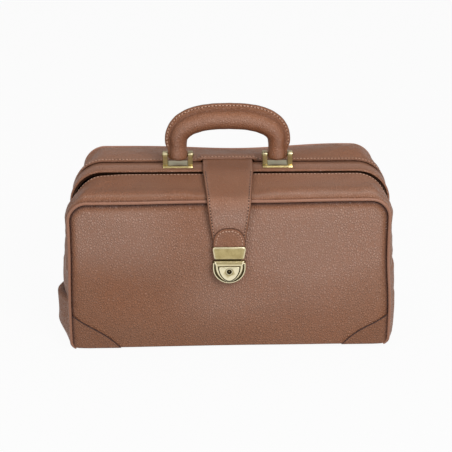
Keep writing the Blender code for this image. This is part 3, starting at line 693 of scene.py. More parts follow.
@dataclass(frozen=True)
class AntiqueBrass:
    """Brushed brass under an aged lacquer, darker in its hollows from patina and painted shade, with a painted
    highlight where shade is below 0.
    """

    name: str = "antique_brass_plate"
    bright: Colour = tone(194, 177, 126)
    aged: Colour = tone(152, 132, 82)
    dark: Colour = tone(46, 37, 22)
    # colour of the painted highlight
    polished: Colour = tone(254, 245, 212)
    roughness: float = 0.30

    def build(self) -> Material:
        """Build the finish.

        Returns:
            The material.
        """
        sheet = NodeSheet(self.name)
        stretch = sheet.add("ShaderNodeMapping", Vector=sheet.place, Scale=(0.06, 1.0, 1.0))
        strokes = sheet.add("ShaderNodeTexNoise", Vector=stretch.outputs[0], Scale=3200.0, Detail=2.0)
        brushed = sheet.span(strokes.outputs[0], 0.35, 0.65)
        cloud = sheet.span(sheet.noise(190.0, 4.0, 0.6), 0.40, 0.70)
        # patina in the hollows, with painted shade where the piece's shade is above 0
        patina_and_shade = sheet.times(sheet.shade(), 0.95, True)
        colour = sheet.mix(sheet.times(cloud, 0.55), self.bright, self.aged)
        colour = sheet.mix(sheet.times(brushed, 0.16), colour, self.aged)
        colour = sheet.mix(patina_and_shade, colour, self.dark)
        # painted highlight where the piece's shade is below 0
        colour = sheet.mix(sheet.times(sheet.shade(), -0.9, True), colour, self.polished)
        rough = sheet.maths("MULTIPLY_ADD", cloud, 0.14, self.roughness)
        rough = sheet.maths("MULTIPLY_ADD", patina_and_shade, 0.25, rough)
        normal = sheet.bump(brushed, 0.00003, 0.25)
        return sheet.finish(Base_Color=colour, Metallic=1.0, Roughness=rough, Normal=normal)


@dataclass(frozen=True)
class FrameSteel:
    """Brown-lacquered spring steel of the bars, core and springs, worn a little brighter in places."""

    name: str = "frame_steel_bar"
    clean: Colour = tone(92, 70, 56)
    dull: Colour = tone(54, 36, 28)

    def build(self) -> Material:
        """Build the finish.

        Returns:
            The material.
        """
        sheet = NodeSheet(self.name)
        cloud = sheet.span(sheet.noise(60.0, 5.0, 0.65), 0.35, 0.7)
        rough = sheet.maths("MULTIPLY_ADD", cloud, 0.22, 0.30)
        normal = sheet.bump(sheet.noise(1800.0), 0.00003, 0.3)
        colour = sheet.mix(cloud, self.clean, self.dull)
        return sheet.finish(Base_Color=colour, Metallic=1.0, Roughness=rough, Normal=normal)


@dataclass(frozen=True)
class WovenCloth:
    """A plain-woven cotton lining."""

    name: str = "lining_twill"
    warp: Colour = tone(116, 84, 62)
    weft: Colour = tone(82, 58, 42)
    thread: float = 0.0008

    def build(self) -> Material:
        """Build the finish.

        Returns:
            The material.
        """
        sheet = NodeSheet(self.name)
        scale = 0.314 / self.thread
        bands = []
        for direction in ("X", "Z", "Y"):
            wave = sheet.add("ShaderNodeTexWave", Vector=sheet.place, Scale=scale, Distortion=0.6)
            wave.bands_direction = direction
            bands.append(wave.outputs["Fac"])
        weave = sheet.times(bands[0], sheet.maths("MAXIMUM", bands[1], bands[2]))
        slub = sheet.span(sheet.noise(130.0, 4.0), 0.35, 0.7)
        colour = sheet.mix(weave, self.weft, self.warp)
        colour = sheet.mix(sheet.times(slub, 0.35), colour, self.weft)
        rough = sheet.span(weave, 0.0, 1.0, 0.92, 0.78)
        return sheet.finish(Base_Color=colour, Roughness=rough, Normal=sheet.bump(weave, 0.0003, 0.5))


@dataclass(frozen=True)
class MottledFinish:
    """A small matt finish of two close tones: thread dressed in wax, edge paint or pressed board."""

    name: str
    first: Colour
    second: Colour
    scale: float
    roughness: float
    relief: float

    def build(self) -> Material:
        """Build the finish.

        Returns:
            The material.
        """
        sheet = NodeSheet(self.name)
        mottle = sheet.span(sheet.noise(self.scale, 4.0, 0.6), 0.32, 0.68)
        rough = sheet.span(mottle, 0.0, 1.0, self.roughness - 0.06, self.roughness + 0.08)
        colour = sheet.mix(mottle, self.first, self.second)
        return sheet.finish(Base_Color=colour, Roughness=rough, Normal=sheet.bump(mottle, self.relief, 0.4))


class Finishes:
    """All the materials of the bag, built once."""

    def __init__(self) -> None:
        """Build every finish."""
        deep = tone(62, 29, 16)
        hide = (tone(145, 98, 71), tone(148, 94, 62), tone(156, 112, 88), deep)
        roll = (tone(152, 102, 73), tone(154, 98, 65), tone(164, 118, 92), deep)
        welt = (tone(160, 113, 90), tone(156, 105, 80), tone(170, 127, 106), deep)
        thread = (tone(216, 180, 158), tone(192, 152, 128))
        paint = (tone(50, 26, 18), tone(66, 36, 26))
        fibre = (tone(96, 78, 60), tone(78, 62, 48))
        self.leather = PebbledLeather("pebbled_leather", *hide).build()
        self.grip = PebbledLeather(
            "grip_leather", *roll, pebble=0.0020, relief=0.0008, roughness=0.38
        ).build()
        self.piping = PebbledLeather(
            "piping_leather", *welt, pebble=0.0013, relief=0.00012, roughness=0.34
        ).build()
        self.brass = AntiqueBrass().build()
        self.steel = FrameSteel().build()
        self.cloth = WovenCloth().build()
        self.thread = MottledFinish(
            "waxed_thread", *thread, scale=900.0, roughness=0.62, relief=0.0001
        ).build()
        self.edge = MottledFinish("edge_paint", *paint, scale=240.0, roughness=0.5, relief=0.00008).build()
        self.board = MottledFinish(
            "pressed_board", *fibre, scale=700.0, roughness=0.85, relief=0.0002
        ).build()


class PathTree(NodeGraph):
    """Base of the Geometry Nodes trees that work along lines of points."""

    label = "PathTree"
    sizes: tuple[tuple[str, float], ...] = ()
    coats: tuple[str, ...] = ()

    def __init__(self) -> None:
        """Build the tree and its named inputs."""
        super().__init__(bpy.data.node_groups.new(self.label, "GeometryNodeTree"))
        self.sockets: dict[str, str] = {}
        self._socket("Geometry", "NodeSocketGeometry")
        for name, value in self.sizes:
            self._socket(name, "NodeSocketFloat").default_value = value
        self._socket("Seed", "NodeSocketInt").default_value = 1
        for name in self.coats:
            self._socket(name, "NodeSocketMaterial")
        self.tree.interface.new_socket("Geometry", in_out="OUTPUT", socket_type="NodeSocketGeometry")
        self.given = self.add("NodeGroupInput").outputs
        joined = self.add("GeometryNodeJoinGeometry")
        for coat, result in zip(self.coats, self.grow()):
            real = self.add("GeometryNodeRealizeInstances", Geometry=result)
            smooth = self.add("GeometryNodeSetShadeSmooth", Geometry=real.outputs[0])
            dress = self.add("GeometryNodeSetMaterial", Geometry=smooth.outputs[0], Material=self.given[coat])
            self.put(joined.inputs[0], dress.outputs[0])
        self.put(self.add("NodeGroupOutput").inputs[0], joined.outputs[0])

    def _socket(self, name: str, kind: str) -> bpy.types.NodeTreeInterfaceSocket:
        """Add a named input and remember its identifier."""
        socket = self.tree.interface.new_socket(name, in_out="INPUT", socket_type=kind)
        self.sockets[name] = socket.identifier
        return socket

    def grow(self) -> list[Socket]:
        """Build the tree's own part; its outputs are the geometry of each coat."""
        raise NotImplementedError

    def run(
        self, name: str, lines: Sequence[Array], finishes: Finishes, seed: int = 1, **sizes: float
    ) -> Piece:
        """Lay the tree along lines and turn the result into a plain mesh.

        Args:
            name: the piece's name.
            lines: runs of points.
            finishes: the bag's materials.
            seed: fixes what is random.
            sizes: the tree's named sizes.
        Returns:
            The new object.
        """
        points, edges = [], []
        for line in lines:
            first = len(points)
            points += [tuple(map(float, p)) for p in line]
            edges += [(first + i, first + i + 1) for i in range(len(line) - 1)]
        mesh = bpy.data.meshes.new(name)
        mesh.from_pydata(points, edges, [])
        piece = bpy.data.objects.new(name, mesh)
        modifier = piece.modifiers.new(self.label, "NODES")
        modifier.node_group = self.tree
        modifier[self.sockets["Seed"]] = seed
        for coat in self.coats:
            modifier[self.sockets[coat]] = getattr(finishes, coat)
        for key, value in sizes.items():
            modifier[self.sockets[key]] = value
        bpy.context.scene.collection.objects.link(piece)
        return apply_modifiers(piece)


class StitchTree(PathTree):
    """Lays one small thread stitch after another along each line."""

    label = "StitchRun"
    sizes = (("Pitch", 0.0044), ("Length", 0.0031), ("Width", 0.0011), ("Hole", 0.0011))
    coats = ("thread", "edge")

    def grow(self) -> list[Socket]:
        """Place a stretched ball of thread at each pitch along the line, with a dark ball between as painted
        shade for the needle hole.

        Returns:
            The sockets of the threads and of the holes.
        """
        given = self.given
        line = self.add("GeometryNodeMeshToCurve", Mesh=given["Geometry"])
        spots = self.add("GeometryNodeCurveToPoints", Curve=line.outputs[0])
        spots.mode = "LENGTH"
        self.put(spots.inputs["Length"], self.maths("MULTIPLY", given["Pitch"], 0.5))
        ball = self.add("GeometryNodeMeshUVSphere", Segments=6, Rings=4, Radius=0.5).outputs[0]
        stretch = self.add("ShaderNodeCombineXYZ", X=given["Length"], Y=given["Width"], Z=given["Width"])
        # a dark ball of edge paint: painted shade standing in for the needle hole
        point = self.add("ShaderNodeCombineXYZ", X=given["Hole"], Y=given["Hole"], Z=given["Hole"])
        odd = self.maths("MODULO", self.add("GeometryNodeInputIndex").outputs[0], 2.0)
        turn = self.add("FunctionNodeAlignRotationToVector", Vector=spots.outputs["Tangent"])
        turn.axis = "X"
        vary = self.add("FunctionNodeRandomValue", Seed=given["Seed"])
        vary.data_type = "FLOAT"
        vary.inputs[2].default_value = 0.88
        vary.inputs[3].default_value = 1.08
        laid = []
        for size, chosen in ((stretch, self.maths("SUBTRACT", 1.0, odd)), (point, odd)):
            shape = self.add("GeometryNodeTransform", Geometry=ball, Scale=size.outputs[0])
            row = self.add("GeometryNodeInstanceOnPoints", Points=spots.outputs[0], Selection=chosen)
            self.put(row.inputs["Instance"], shape.outputs[0])
            self.put(row.inputs["Rotation"], turn.outputs[0])
            self.put(row.inputs["Scale"], vary.outputs[1])
            laid.append(row.outputs[0])
        return laid


class WeltTree(PathTree):
    """Sweeps a round welt along each line."""

    label = "WeltRun"
    sizes = (("Radius", 0.0025),)
    coats = ("piping",)

    def grow(self) -> list[Socket]:
        """Sweep a circle along the line and close its ends.

        Returns:
            The welt's socket.
        """
        line = self.add("GeometryNodeMeshToCurve", Mesh=self.given["Geometry"])
        ring = self.add("GeometryNodeCurvePrimitiveCircle", Resolution=14, Radius=self.given["Radius"])
        swept = self.add("GeometryNodeCurveToMesh", Curve=line.outputs[0], Profile_Curve=ring.outputs[0])
        swept.inputs["Fill Caps"].default_value = True
        return [swept.outputs[0]]


@dataclass(frozen=True)
class Kit:
    """What every sub-assembly is dressed and sewn with."""

    finishes: Finishes
    stitches: StitchTree
    welts: WeltTree


@dataclass
class Assembly:
    """A sub-assembly of the bag."""

    kit: Kit

    @property
    def finishes(self) -> Finishes:
        """The bag's materials."""
        return self.kit.finishes

    def sew(self, name: str, lines: Sequence[Array], seed: int, body: Body, **sizes: float) -> Piece:
        """Lay a run of stitches along lines and ride it on a body."""
        run = self.kit.stitches.run(name, lines, self.finishes, seed, **sizes)
        return fit(run, self.finishes.thread, body, Slot.LEATHER)


@dataclass
class LeatherPanel(Assembly):
    """A large panel of the body: a soft crown that rolls into the seam at its piping."""

    side: Side
    crown: float = 0.0060
    edge_face: float = 0.0990
    edge_roll: float = 0.0032
    roll_reach: float = 0.0075
    curl: float = 0.0022
    thickness: float = 0.0016
    uneven: float = 0.0014
    # painted shade along the seam, then painted sheen over the upper face, on the right's middle, over the
    # right half and below the lock
    seam_shade: float = 0.0027
    wide_shade: float = 0.32
    bloom: float = 0.42
    right_bloom: float = 0.28
    side_bloom: float = 0.06
    middle_bloom: float = 0.34

    def __post_init__(self) -> None:
        """Draw the panel's own uneven swell."""
        self.ripple = Ripple(41 + self.side.value, 0.100)

    @property
    def corner(self) -> tuple[float, float, float]:
        """Half width, top and upper corner radius of the panel inside its piping."""
        inset = LAYOUT.panel_edge
        return LAYOUT.half_length - inset, LAYOUT.panel_top - inset, LAYOUT.seam_radius(self.side) - inset

    def half_width(self, height: Array) -> Array:
        """Half the panel's width.

        Args:
            height: where, in metres above the floor.
        Returns:
            The half width there.
        """
        half, top, radius = self.corner
        up = np.clip(height - (top - radius), 0.0, radius)
        down = np.clip(LAYOUT.base + LAYOUT.bottom_radius - height, 0.0, LAYOUT.bottom_radius)
        width = half - radius + np.sqrt(np.maximum(radius ** 2 - up ** 2, 0.0))
        return width - LAYOUT.bottom_radius + np.sqrt(np.maximum(LAYOUT.bottom_radius ** 2 - down ** 2, 0.0))

    def seam_distance(self, x: Array, z: Array) -> Array:
        """Distance from the piped seam.

        Args:
            x, z: places on the panel.
        Returns:
            Metres to the nearest piped edge.
        """
        half, top, radius = self.corner
        aside, above = np.abs(x) - (half - radius), z - (top - radius)
        corner = radius - np.hypot(np.maximum(aside, 0.0), np.maximum(above, 0.0))
        return np.maximum(corner, 0.0)

    def face(self, x: Array, z: Array) -> Array:
        """Distance of the panel's outer face from the bag's middle plane.

        Args:
            x, z: places on the panel.
        Returns:
            The distance, positive on either side.
        """
        middle = (LAYOUT.panel_top + LAYOUT.base) / 2
        reach = (LAYOUT.panel_top - LAYOUT.base) / 2
        along = 1 - np.clip(np.abs(x) / LAYOUT.half_length, 0, 1) ** 2.4
        up = 1 - np.clip(np.abs(z - middle) / reach, 0, 1) ** 2.0
        seam = self.seam_distance(x, z)
        rolled = self.edge_roll * (1 - np.exp(-seam / self.roll_reach))
        face = self.edge_face + rolled + self.crown * along * up
        spots = np.stack([x, np.zeros_like(x), z], -1)
        calm = ease(seam, 0.0, 0.03) * ease(np.abs(x), 0.03, 0.09) * ease(z, 0.01, 0.05)
        return face + self.uneven * calm * self.ripple.at(spots)

    def surface(self, x: Array, z: Array) -> Array:
        """Distance of the outer face from the middle plane, curled under at the base.

        Args:
            x, z: places on the panel.
        Returns:
            The distance, positive on either side.
        """
        under = np.clip(LAYOUT.base + self.curl - z, 0.0, self.curl)
        roll = self.curl - np.sqrt(np.maximum(self.curl ** 2 - under ** 2, 0.0))
        return self.face(x, z) - roll

    def tone(self, x: Array, z: Array) -> Array:
        """Painted shade along the piped seam, less the painted sheen that lightens the face.

        Args:
            x, z: places on the panel.
        Returns:
            The shade, negative where the leather is lighter.
        """
        seam = self.seam_distance(x, z)
        # painted shade: the seam's dark line and a wider band in the piping's shadow, deeper at the top
        wide = self.wide_shade * hump(seam, 0.0, 0.0070) * (0.5 + 0.5 * ease(z, 0.15, 0.19))
        shade = np.clip(hump(seam, 0.0, self.seam_shade) + wide, 0.0, 1.0) * ease(z, 0.006, 0.012)
        # painted sheen: paler over the upper face, at the right and below the lock
        bloom = self.bloom * ease(z, 0.085, 0.150) * (1 - 0.55 * hump(x, -0.045, 0.045))
        bloom = bloom + self.right_bloom * hump(x, 0.105, 0.075) * hump(z, 0.105, 0.050)
        bloom = bloom + self.side_bloom * ease(x, 0.0, 0.08)
        bloom = bloom + self.middle_bloom * hump(x, -0.005, 0.060) * hump(z, 0.074, 0.034)
        return shade - np.clip(bloom, 0.0, self.bloom) * ease(seam, 0.002, 0.010)

    def build(self) -> Piece:
        """Build and dress the panel.

        Returns:
            The panel.
        """
        _, top, radius = self.corner
        low = LAYOUT.base + LAYOUT.bottom_radius
        turn = np.linspace(math.pi / 2, 0, 15)
        rows = list(top - radius + radius * np.sin(turn))
        rows += list(np.linspace(top - radius, low, 46))[1:]
        rows += list(LAYOUT.base + LAYOUT.bottom_radius * (1 - np.sin(np.linspace(0, math.pi / 2, 10))))[1:]
        z = np.array(rows)[:, None]
        across = np.sin(np.linspace(-math.pi / 2, math.pi / 2, 110))[None, :]
        x = self.half_width(z) * across
        z = np.broadcast_to(z, x.shape)
        y = self.side.value * self.surface(x, z)
        tone = self.tone(x, z)
        name = self.side.label
        grid = settle(np.stack([x, y, z], -1))
        panel = shell(f"{name}_panel_leather", grid, self.thickness, (0.0, 0.0, 0.1), tone)
        return fit(panel, self.finishes.leather, Body.BAG, Slot.LEATHER, f"{name}_panel")


@dataclass
class CornerPatch(Assembly):
    """A reinforcement over a bottom corner of a panel, with a painted edge."""

    panel: LeatherPanel
    end: End
    length: float = 0.0600
    height: float = 0.0455
    swell: float = 0.010
    proud: float = 0.0013
    edge_width: float = 0.0016
    seat: float = 0.0002
    rise: float = 0.0003
    tip_drop: float = 0.0022
    tip_reach: float = 0.06
    least: float = 0.0012
    clear: float = 0.0001

    def top_at(self, share: Array) -> Array:
        """Height of the patch's swelling edge, from share 0 at the panel's end to 1 at its far point."""
        bow = self.swell * np.sin(math.pi * share) * (share - 0.2)
        return self.height * (1 - share) + bow - self.tip_drop * np.exp(-share / self.tip_reach)

    def build(self) -> Piece:
        """Build and dress the patch.

        Returns:
            The patch.
        """
        radius = LAYOUT.bottom_radius
        near = radius * (1 - np.cos(np.linspace(0.12, math.pi / 2, 8)))
        distance = np.concatenate([near, np.linspace(radius, self.length, 40)[1:]])
        inward = np.clip(radius - distance, 0, radius)
        low = LAYOUT.base + radius - np.sqrt(np.maximum(radius ** 2 - inward ** 2, 0.0)) + self.clear
        high = LAYOUT.base + self.least + np.maximum(self.top_at(distance / self.length), 0.0)
        rise = np.linspace(0.0, 1.0, 22)
        x = self.end.value * (LAYOUT.half_length - LAYOUT.panel_edge - distance)[:, None]
        span = np.maximum(high - low, self.least)[:, None]
        body = low[:, None] + (span - np.minimum(self.edge_width, span * 0.5)) * rise[None, :]
        rim = high[:, None] + np.zeros((1, 2))
        z = np.concatenate([body, rim], axis=1)
        x = np.broadcast_to(x, z.shape)
        proud = np.full(z.shape, self.proud)
        proud[:, -2] = self.proud * 0.85
        proud[:, -1] = 0.0
        side = self.panel.side
        ground = self.panel.surface(x, z)
        outer = np.stack([x, side.value * (ground + self.rise + proud), z], -1)
        inner = np.stack([x, side.value * (ground + self.seat), z], -1)
        rings = settle(np.concatenate([outer, inner[:, -2::-1]], axis=1))
        columns, count = rings.shape[:2]
        faces = ring_faces(columns, count)
        painted = (z.shape[1] - 3, z.shape[1] - 2)
        around = (columns - 1) * count
        marks = [int(i < around and i % count in painted) for i in range(len(faces))]
        name = f"{side.label}_{self.end.label}_corner"
        # the patch a little darker all over, with the seam's dark line and painted shade along its piped end
        shade = banded(0.14 + 0.86 * hump(distance, 0.0, self.panel.seam_shade), count)
        patch = make_piece(f"{name}_leather", rings, faces, shade, marks)
        patch.data.materials.append(self.finishes.leather)
        patch.data.materials.append(self.finishes.edge)
        return fit(patch, self.finishes.leather, Body.BAG, Slot.LEATHER, f"{name}_patch")


@dataclass
class EndGusset(Assembly):
    """The lower end of the bag, folded into a front and a rear lobe by its pleat."""

    end: End
    lower: float
    upper: float
    fold: float
    fold_depth: float
    tuck: float = 0.0018
    foot: float = 0.30
    crease: float = 0.004
    roll_drop: float = 0.0034
    roll_from: float = 0.93
    roll_share: float = 0.07
    pinch_rise: float = 0.0015
    pinch_reach: float = 0.0028
    uneven: float = 0.0011
    thickness: float = 0.0018

    def build(self) -> Piece:
        """Build and dress the end.

        Returns:
            The end gusset.
        """
        edge = LAYOUT.gusset_edge
        low, fold, high = (0.0055, 0.045, 18), (0.047, 0.077, 26), (0.079, 0.113, 14)
        z = np.concatenate([np.linspace(*rows) for rows in (low, fold, high)])
        y = edge * np.sin(np.linspace(-math.pi / 2, math.pi / 2, 80))
        z, y = np.meshgrid(z, y, indexing="ij")
        ripple = Ripple(77 + self.end.value, 0.05)
        spots = np.stack([np.zeros_like(y), y, z], -1)
        share = np.abs(y) / edge
        lobe = np.sin(math.pi * np.clip(share, 0, 1) ** 1.12) ** 1.4
        swell = self.upper + (self.lower - self.upper) * (1 - ease(z, self.fold - 0.004, self.fold + 0.003))
        swell = swell * (self.foot + (1 - self.foot) * ease(z, -0.004, 0.026))
        swell = swell + self.uneven * ripple.at(spots)
        pinch = hump(z, self.fold + self.pinch_rise, self.pinch_reach)
        middle = np.cos(math.pi * np.clip(share, 0, 1) / 2) ** 2
        x = LAYOUT.half_length + LAYOUT.gusset_rise + lobe * (swell - self.fold_depth * pinch)
        x = x + self.crease * middle * 0.55 - self.tuck * ease(z, 0.110 - 3.0 * self.tuck, 0.111)
        rolled = np.clip((share - self.roll_from) / self.roll_share, 0.0, 1.0)
        x = x - self.roll_drop * (1 - np.sqrt(1 - rolled ** 2))
        # painted shade in the pleat's fold and down its middle crease, with the seam's dark line along the
        # piped edges
        folded = 0.9 * pinch * lobe * min(self.fold_depth / 0.002, 1.0)
        shade = folded + 0.8 * hump(edge - np.abs(y), 0.0, 0.002)
        shade = np.clip(shade + 0.35 * hump(y, 0.0, 0.006), 0.0, 1.0)
        name = self.end.label
        grid = settle(np.stack([self.end.value * x, y, z], -1))
        piece = shell(f"{name}_end_leather", grid, self.thickness, (0.0, 0.0, 0.06), shade)
        return fit(piece, self.finishes.leather, Body.BAG, Slot.LEATHER, f"{name}_end_gusset")


@dataclass
class TopGusset(Assembly):
    """The leather band from a panel's piping to its half of the frame, over the top and down the ends."""

    side: Side
    front_full: float = 0.0052
    rear_full: float = 0.0026
    front_end: float = 0.0058
    rear_end: float = -0.0015
    under_strap: float = 0.0032
    thickness: float = 0.0018
    lip_raise: float = 0.0033
    hem_raise: float = 0.0022
    corner_drop: float = 0.0014
    crest: float = 0.0014
    roll_drop: float = 0.0046
    shoulder_extra: float = 0.0040
    tip: float = 0.0012
    unsewn: int = 9
    hem_gap: float = 0.0013
    lip_gap: float = 0.0006
    lip_inset: float = 0.0022
    lip_tight: float = 0.0018
    right_full: float = 0.0026
    left_pinch: float = 0.0065
    wrinkle: float = 0.0007
    fine_wrinkle: float = 0.0005
    hem_seam: float = 0.066
    lip_seam: float = 0.052
    sewn_rise: float = 0.00012

    def lines(self) -> tuple[Array, Array, Array]:
        """The band's edge at the frame and at the piping.

        Returns:
            The arch at the frame, the arch at the piping, and the Y where the band starts.
        """
        inset = LAYOUT.hem_depth if self.side is Side.FRONT else -self.lip_inset
        legs = np.linspace(LAYOUT.split_height + 0.0003, LAYOUT.leg_top - 0.003, 16)[:-1]
        at_frame = arch(
            LAYOUT.frame_half - inset, LAYOUT.frame_top - inset, LAYOUT.frame_radius - inset, legs
        )
        rise = LAYOUT.gusset_rise
        radius = LAYOUT.seam_radius(self.side) + self.shoulder_extra
        at_piping = arch(LAYOUT.half_length + rise, LAYOUT.panel_top + rise + self.crest, radius, legs)
        starts = []
        for height in at_frame[:, 1]:
            front, rear = LAYOUT.leg_edges(min(max(height, LAYOUT.pivot_height), LAYOUT.leg_top))
            starts.append(front - self.hem_gap if self.side is Side.FRONT else rear - self.lip_gap)
        return at_frame, at_piping, np.array(starts)

    def fullness(self, x: Array, z: Array, outward: Array) -> Array:
        """How far the band swells out between its edges.

        Args:
            x, z: places along the band.
            outward: the outward X there, 0 on top and 1 on the ends.
        Returns:
            The swell, in metres.
        """
        sideways = np.abs(outward)
        on_top, on_leg = 1 - ease(sideways, 0.15, 0.75), ease(sideways, 0.55, 1.0)
        if self.side is Side.FRONT:
            top = self.front_full - self.under_strap * (1 - ease(np.abs(x), 0.032, 0.055))
            return top * on_top + self.front_end * on_leg * (1 - 0.55 * ease(z, 0.135, 0.165))
        top = self.rear_full + self.right_full * hump(x, 0.150, 0.045)
        pinch = self.left_pinch * hump(x, -0.192, 0.020) * (1 - 0.6 * on_leg)
        return top * on_top + self.rear_end * on_leg - pinch

    def build(self) -> list[Piece]:
        """Build and dress the band and its edge stitching.

        Returns:
            The band and its stitches.
        """
        at_frame, at_piping, starts = self.lines()
        sign = self.side.value
        hem = [0.0, 0.012, 0.03, 0.055, 0.085, 0.13]
        rolled = 1 - 0.10 * np.cos(np.linspace(0.15, math.pi / 2, 9))
        shares = np.concatenate([hem, np.linspace(0.18, 0.89, 17), rolled])
        full = self.fullness(at_frame[:, 0], at_frame[:, 1], at_frame[:, 2])
        shoulder = 2.3 if self.side is Side.FRONT else 1.4
        power = 1.4 + (shoulder - 1.4) * (1 - ease(np.abs(at_frame[:, 2:3]), 0.2, 0.8))
        bulge = full[:, None] * np.sin(math.pi * shares[None, :] ** power) * ease(shares, 0.06, 0.3)[None, :]
        across = ease(shares, 0.05, 1.0)[None, :]
        x = at_frame[:, :1] + (at_piping[:, :1] - at_frame[:, :1]) * across
        z = at_frame[:, 1:2] + (at_piping[:, 1:2] - at_frame[:, 1:2]) * across
        y = starts[:, None] + (sign * LAYOUT.gusset_edge - starts[:, None]) * shares[None, :]
        outward = np.stack([at_frame[:, 2], np.zeros(len(at_frame)), at_frame[:, 3]], -1)[:, None, :]
        spots = np.stack([x, y, z], -1)
        loose = ease(shares, 0.12, 0.35) * (1 - ease(shares, 0.9, 1.0))
        wrinkle = self.wrinkle * Ripple(7 + sign, 0.045).at(spots)
        wrinkle = wrinkle + self.fine_wrinkle * Ripple(19 + sign, 0.018).at(spots)
        wrinkle = wrinkle * loose[None, :] * (0.35 + 0.65 * ease(np.abs(x), 0.10, 0.17))
        near = 1 - ease(shares, 0.10, 0.60)[None, :]
        thick = np.full(x.shape, self.thickness)
        if self.side is Side.FRONT:
            along = at_frame[:, :1]
            middle = 1 - ease(np.where(along > 0, along - 0.03, -along), 0.125, 0.178)
            corner = 4 * (at_frame[:, 2:3] * at_frame[:, 3:4]) ** 2 * np.where(along > 0, 0.2, 1.0)
            lift = (self.hem_raise * middle - self.corner_drop * corner) * near
        else:
            over = (1 - ease(np.abs(x), 0.0335, 0.0405)) * np.abs(at_frame[:, 3:4])
            tight = self.lip_tight * ease(np.abs(at_frame[:, 2:3]), 0.5, 1.0)
            fade = (1 - ease(shares, 0.10, 0.45))[None, :]
            lift = (self.lip_raise * over - tight) * fade
            thick = thick + self.lip_raise * over * fade * ease(np.abs(x), 0.0322, 0.0336)
        turned = np.clip((shares - 0.90) / 0.10, 0.0, 1.0)
        drop = self.roll_drop * (1 - np.sqrt(1 - turned ** 2))
        outer = spots + outward * (bulge + wrinkle + lift - drop[None, :])[..., None]
        edge = np.clip(1 - (shares / 0.03) ** 0.6, 0.0, 1.0)
        outer = outer - outward * (self.tip * 0.75 * edge)[None, :, None]
        inner = outer - outward * (thick - 1.4 * self.tip * 0.75 * edge[None, :])[..., None]
        rings = settle(np.concatenate([outer, inner[:, ::-1]], axis=1))
        # painted shade: the seam's dark line above the piping, a darker band at the frame's edge, and the
        # hidden inner face
        lip = hump(shares, 0.0, 0.02)
        dark = hump(1 - shares, 0.0, 0.018) + 0.45 * lip
        if self.side is Side.FRONT:
            # painted light: a highlight on the roll above the piping, shade in the hollow above it, darker at
            # the left and lighter at the right
            painted_light = 0.30 * hump(shares, 0.90, 0.035) - 0.12 * hump(shares, 0.74, 0.07)
            painted_light = painted_light + 0.20 * ease(x, -0.06, 0.10) - 0.08
        else:
            # painted sheen over the left, and a painted highlight on the lip's edge where it lies over the
            # strap
            painted_light = 0.14 * (1 - ease(x, -0.10, 0.04)) + 0.75 * over * lip
        shade = np.concatenate([dark - painted_light, np.full(x.shape, 0.6)], axis=1)
        name = self.side.label
        band = loft(f"{name}_top_leather", rings, shade)
        band.data.materials.append(self.finishes.leather)
        if self.side is Side.FRONT:
            carrier, at_seam = Body.FRONT_FRAME, self.hem_seam
            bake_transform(band)
            declare(band, Slot.LEATHER, "front_top_gusset", "front_frame_hem")
        else:
            carrier, at_seam = Body.BAG, self.lip_seam
            fit(band, self.finishes.leather, Body.BAG, Slot.LEATHER, "rear_top_gusset")
        seam = [[np.interp(at_seam, shares, row[:, k]) for k in range(3)] for row in outer]
        run = settle(np.array(seam) + outward[:, 0] * self.sewn_rise)[self.unsewn:-self.unsewn]
        sewn = self.sew(f"{name}_mouth_stitches", [run], 11 + sign, carrier, Width=0.0009)
        return [band, sewn]


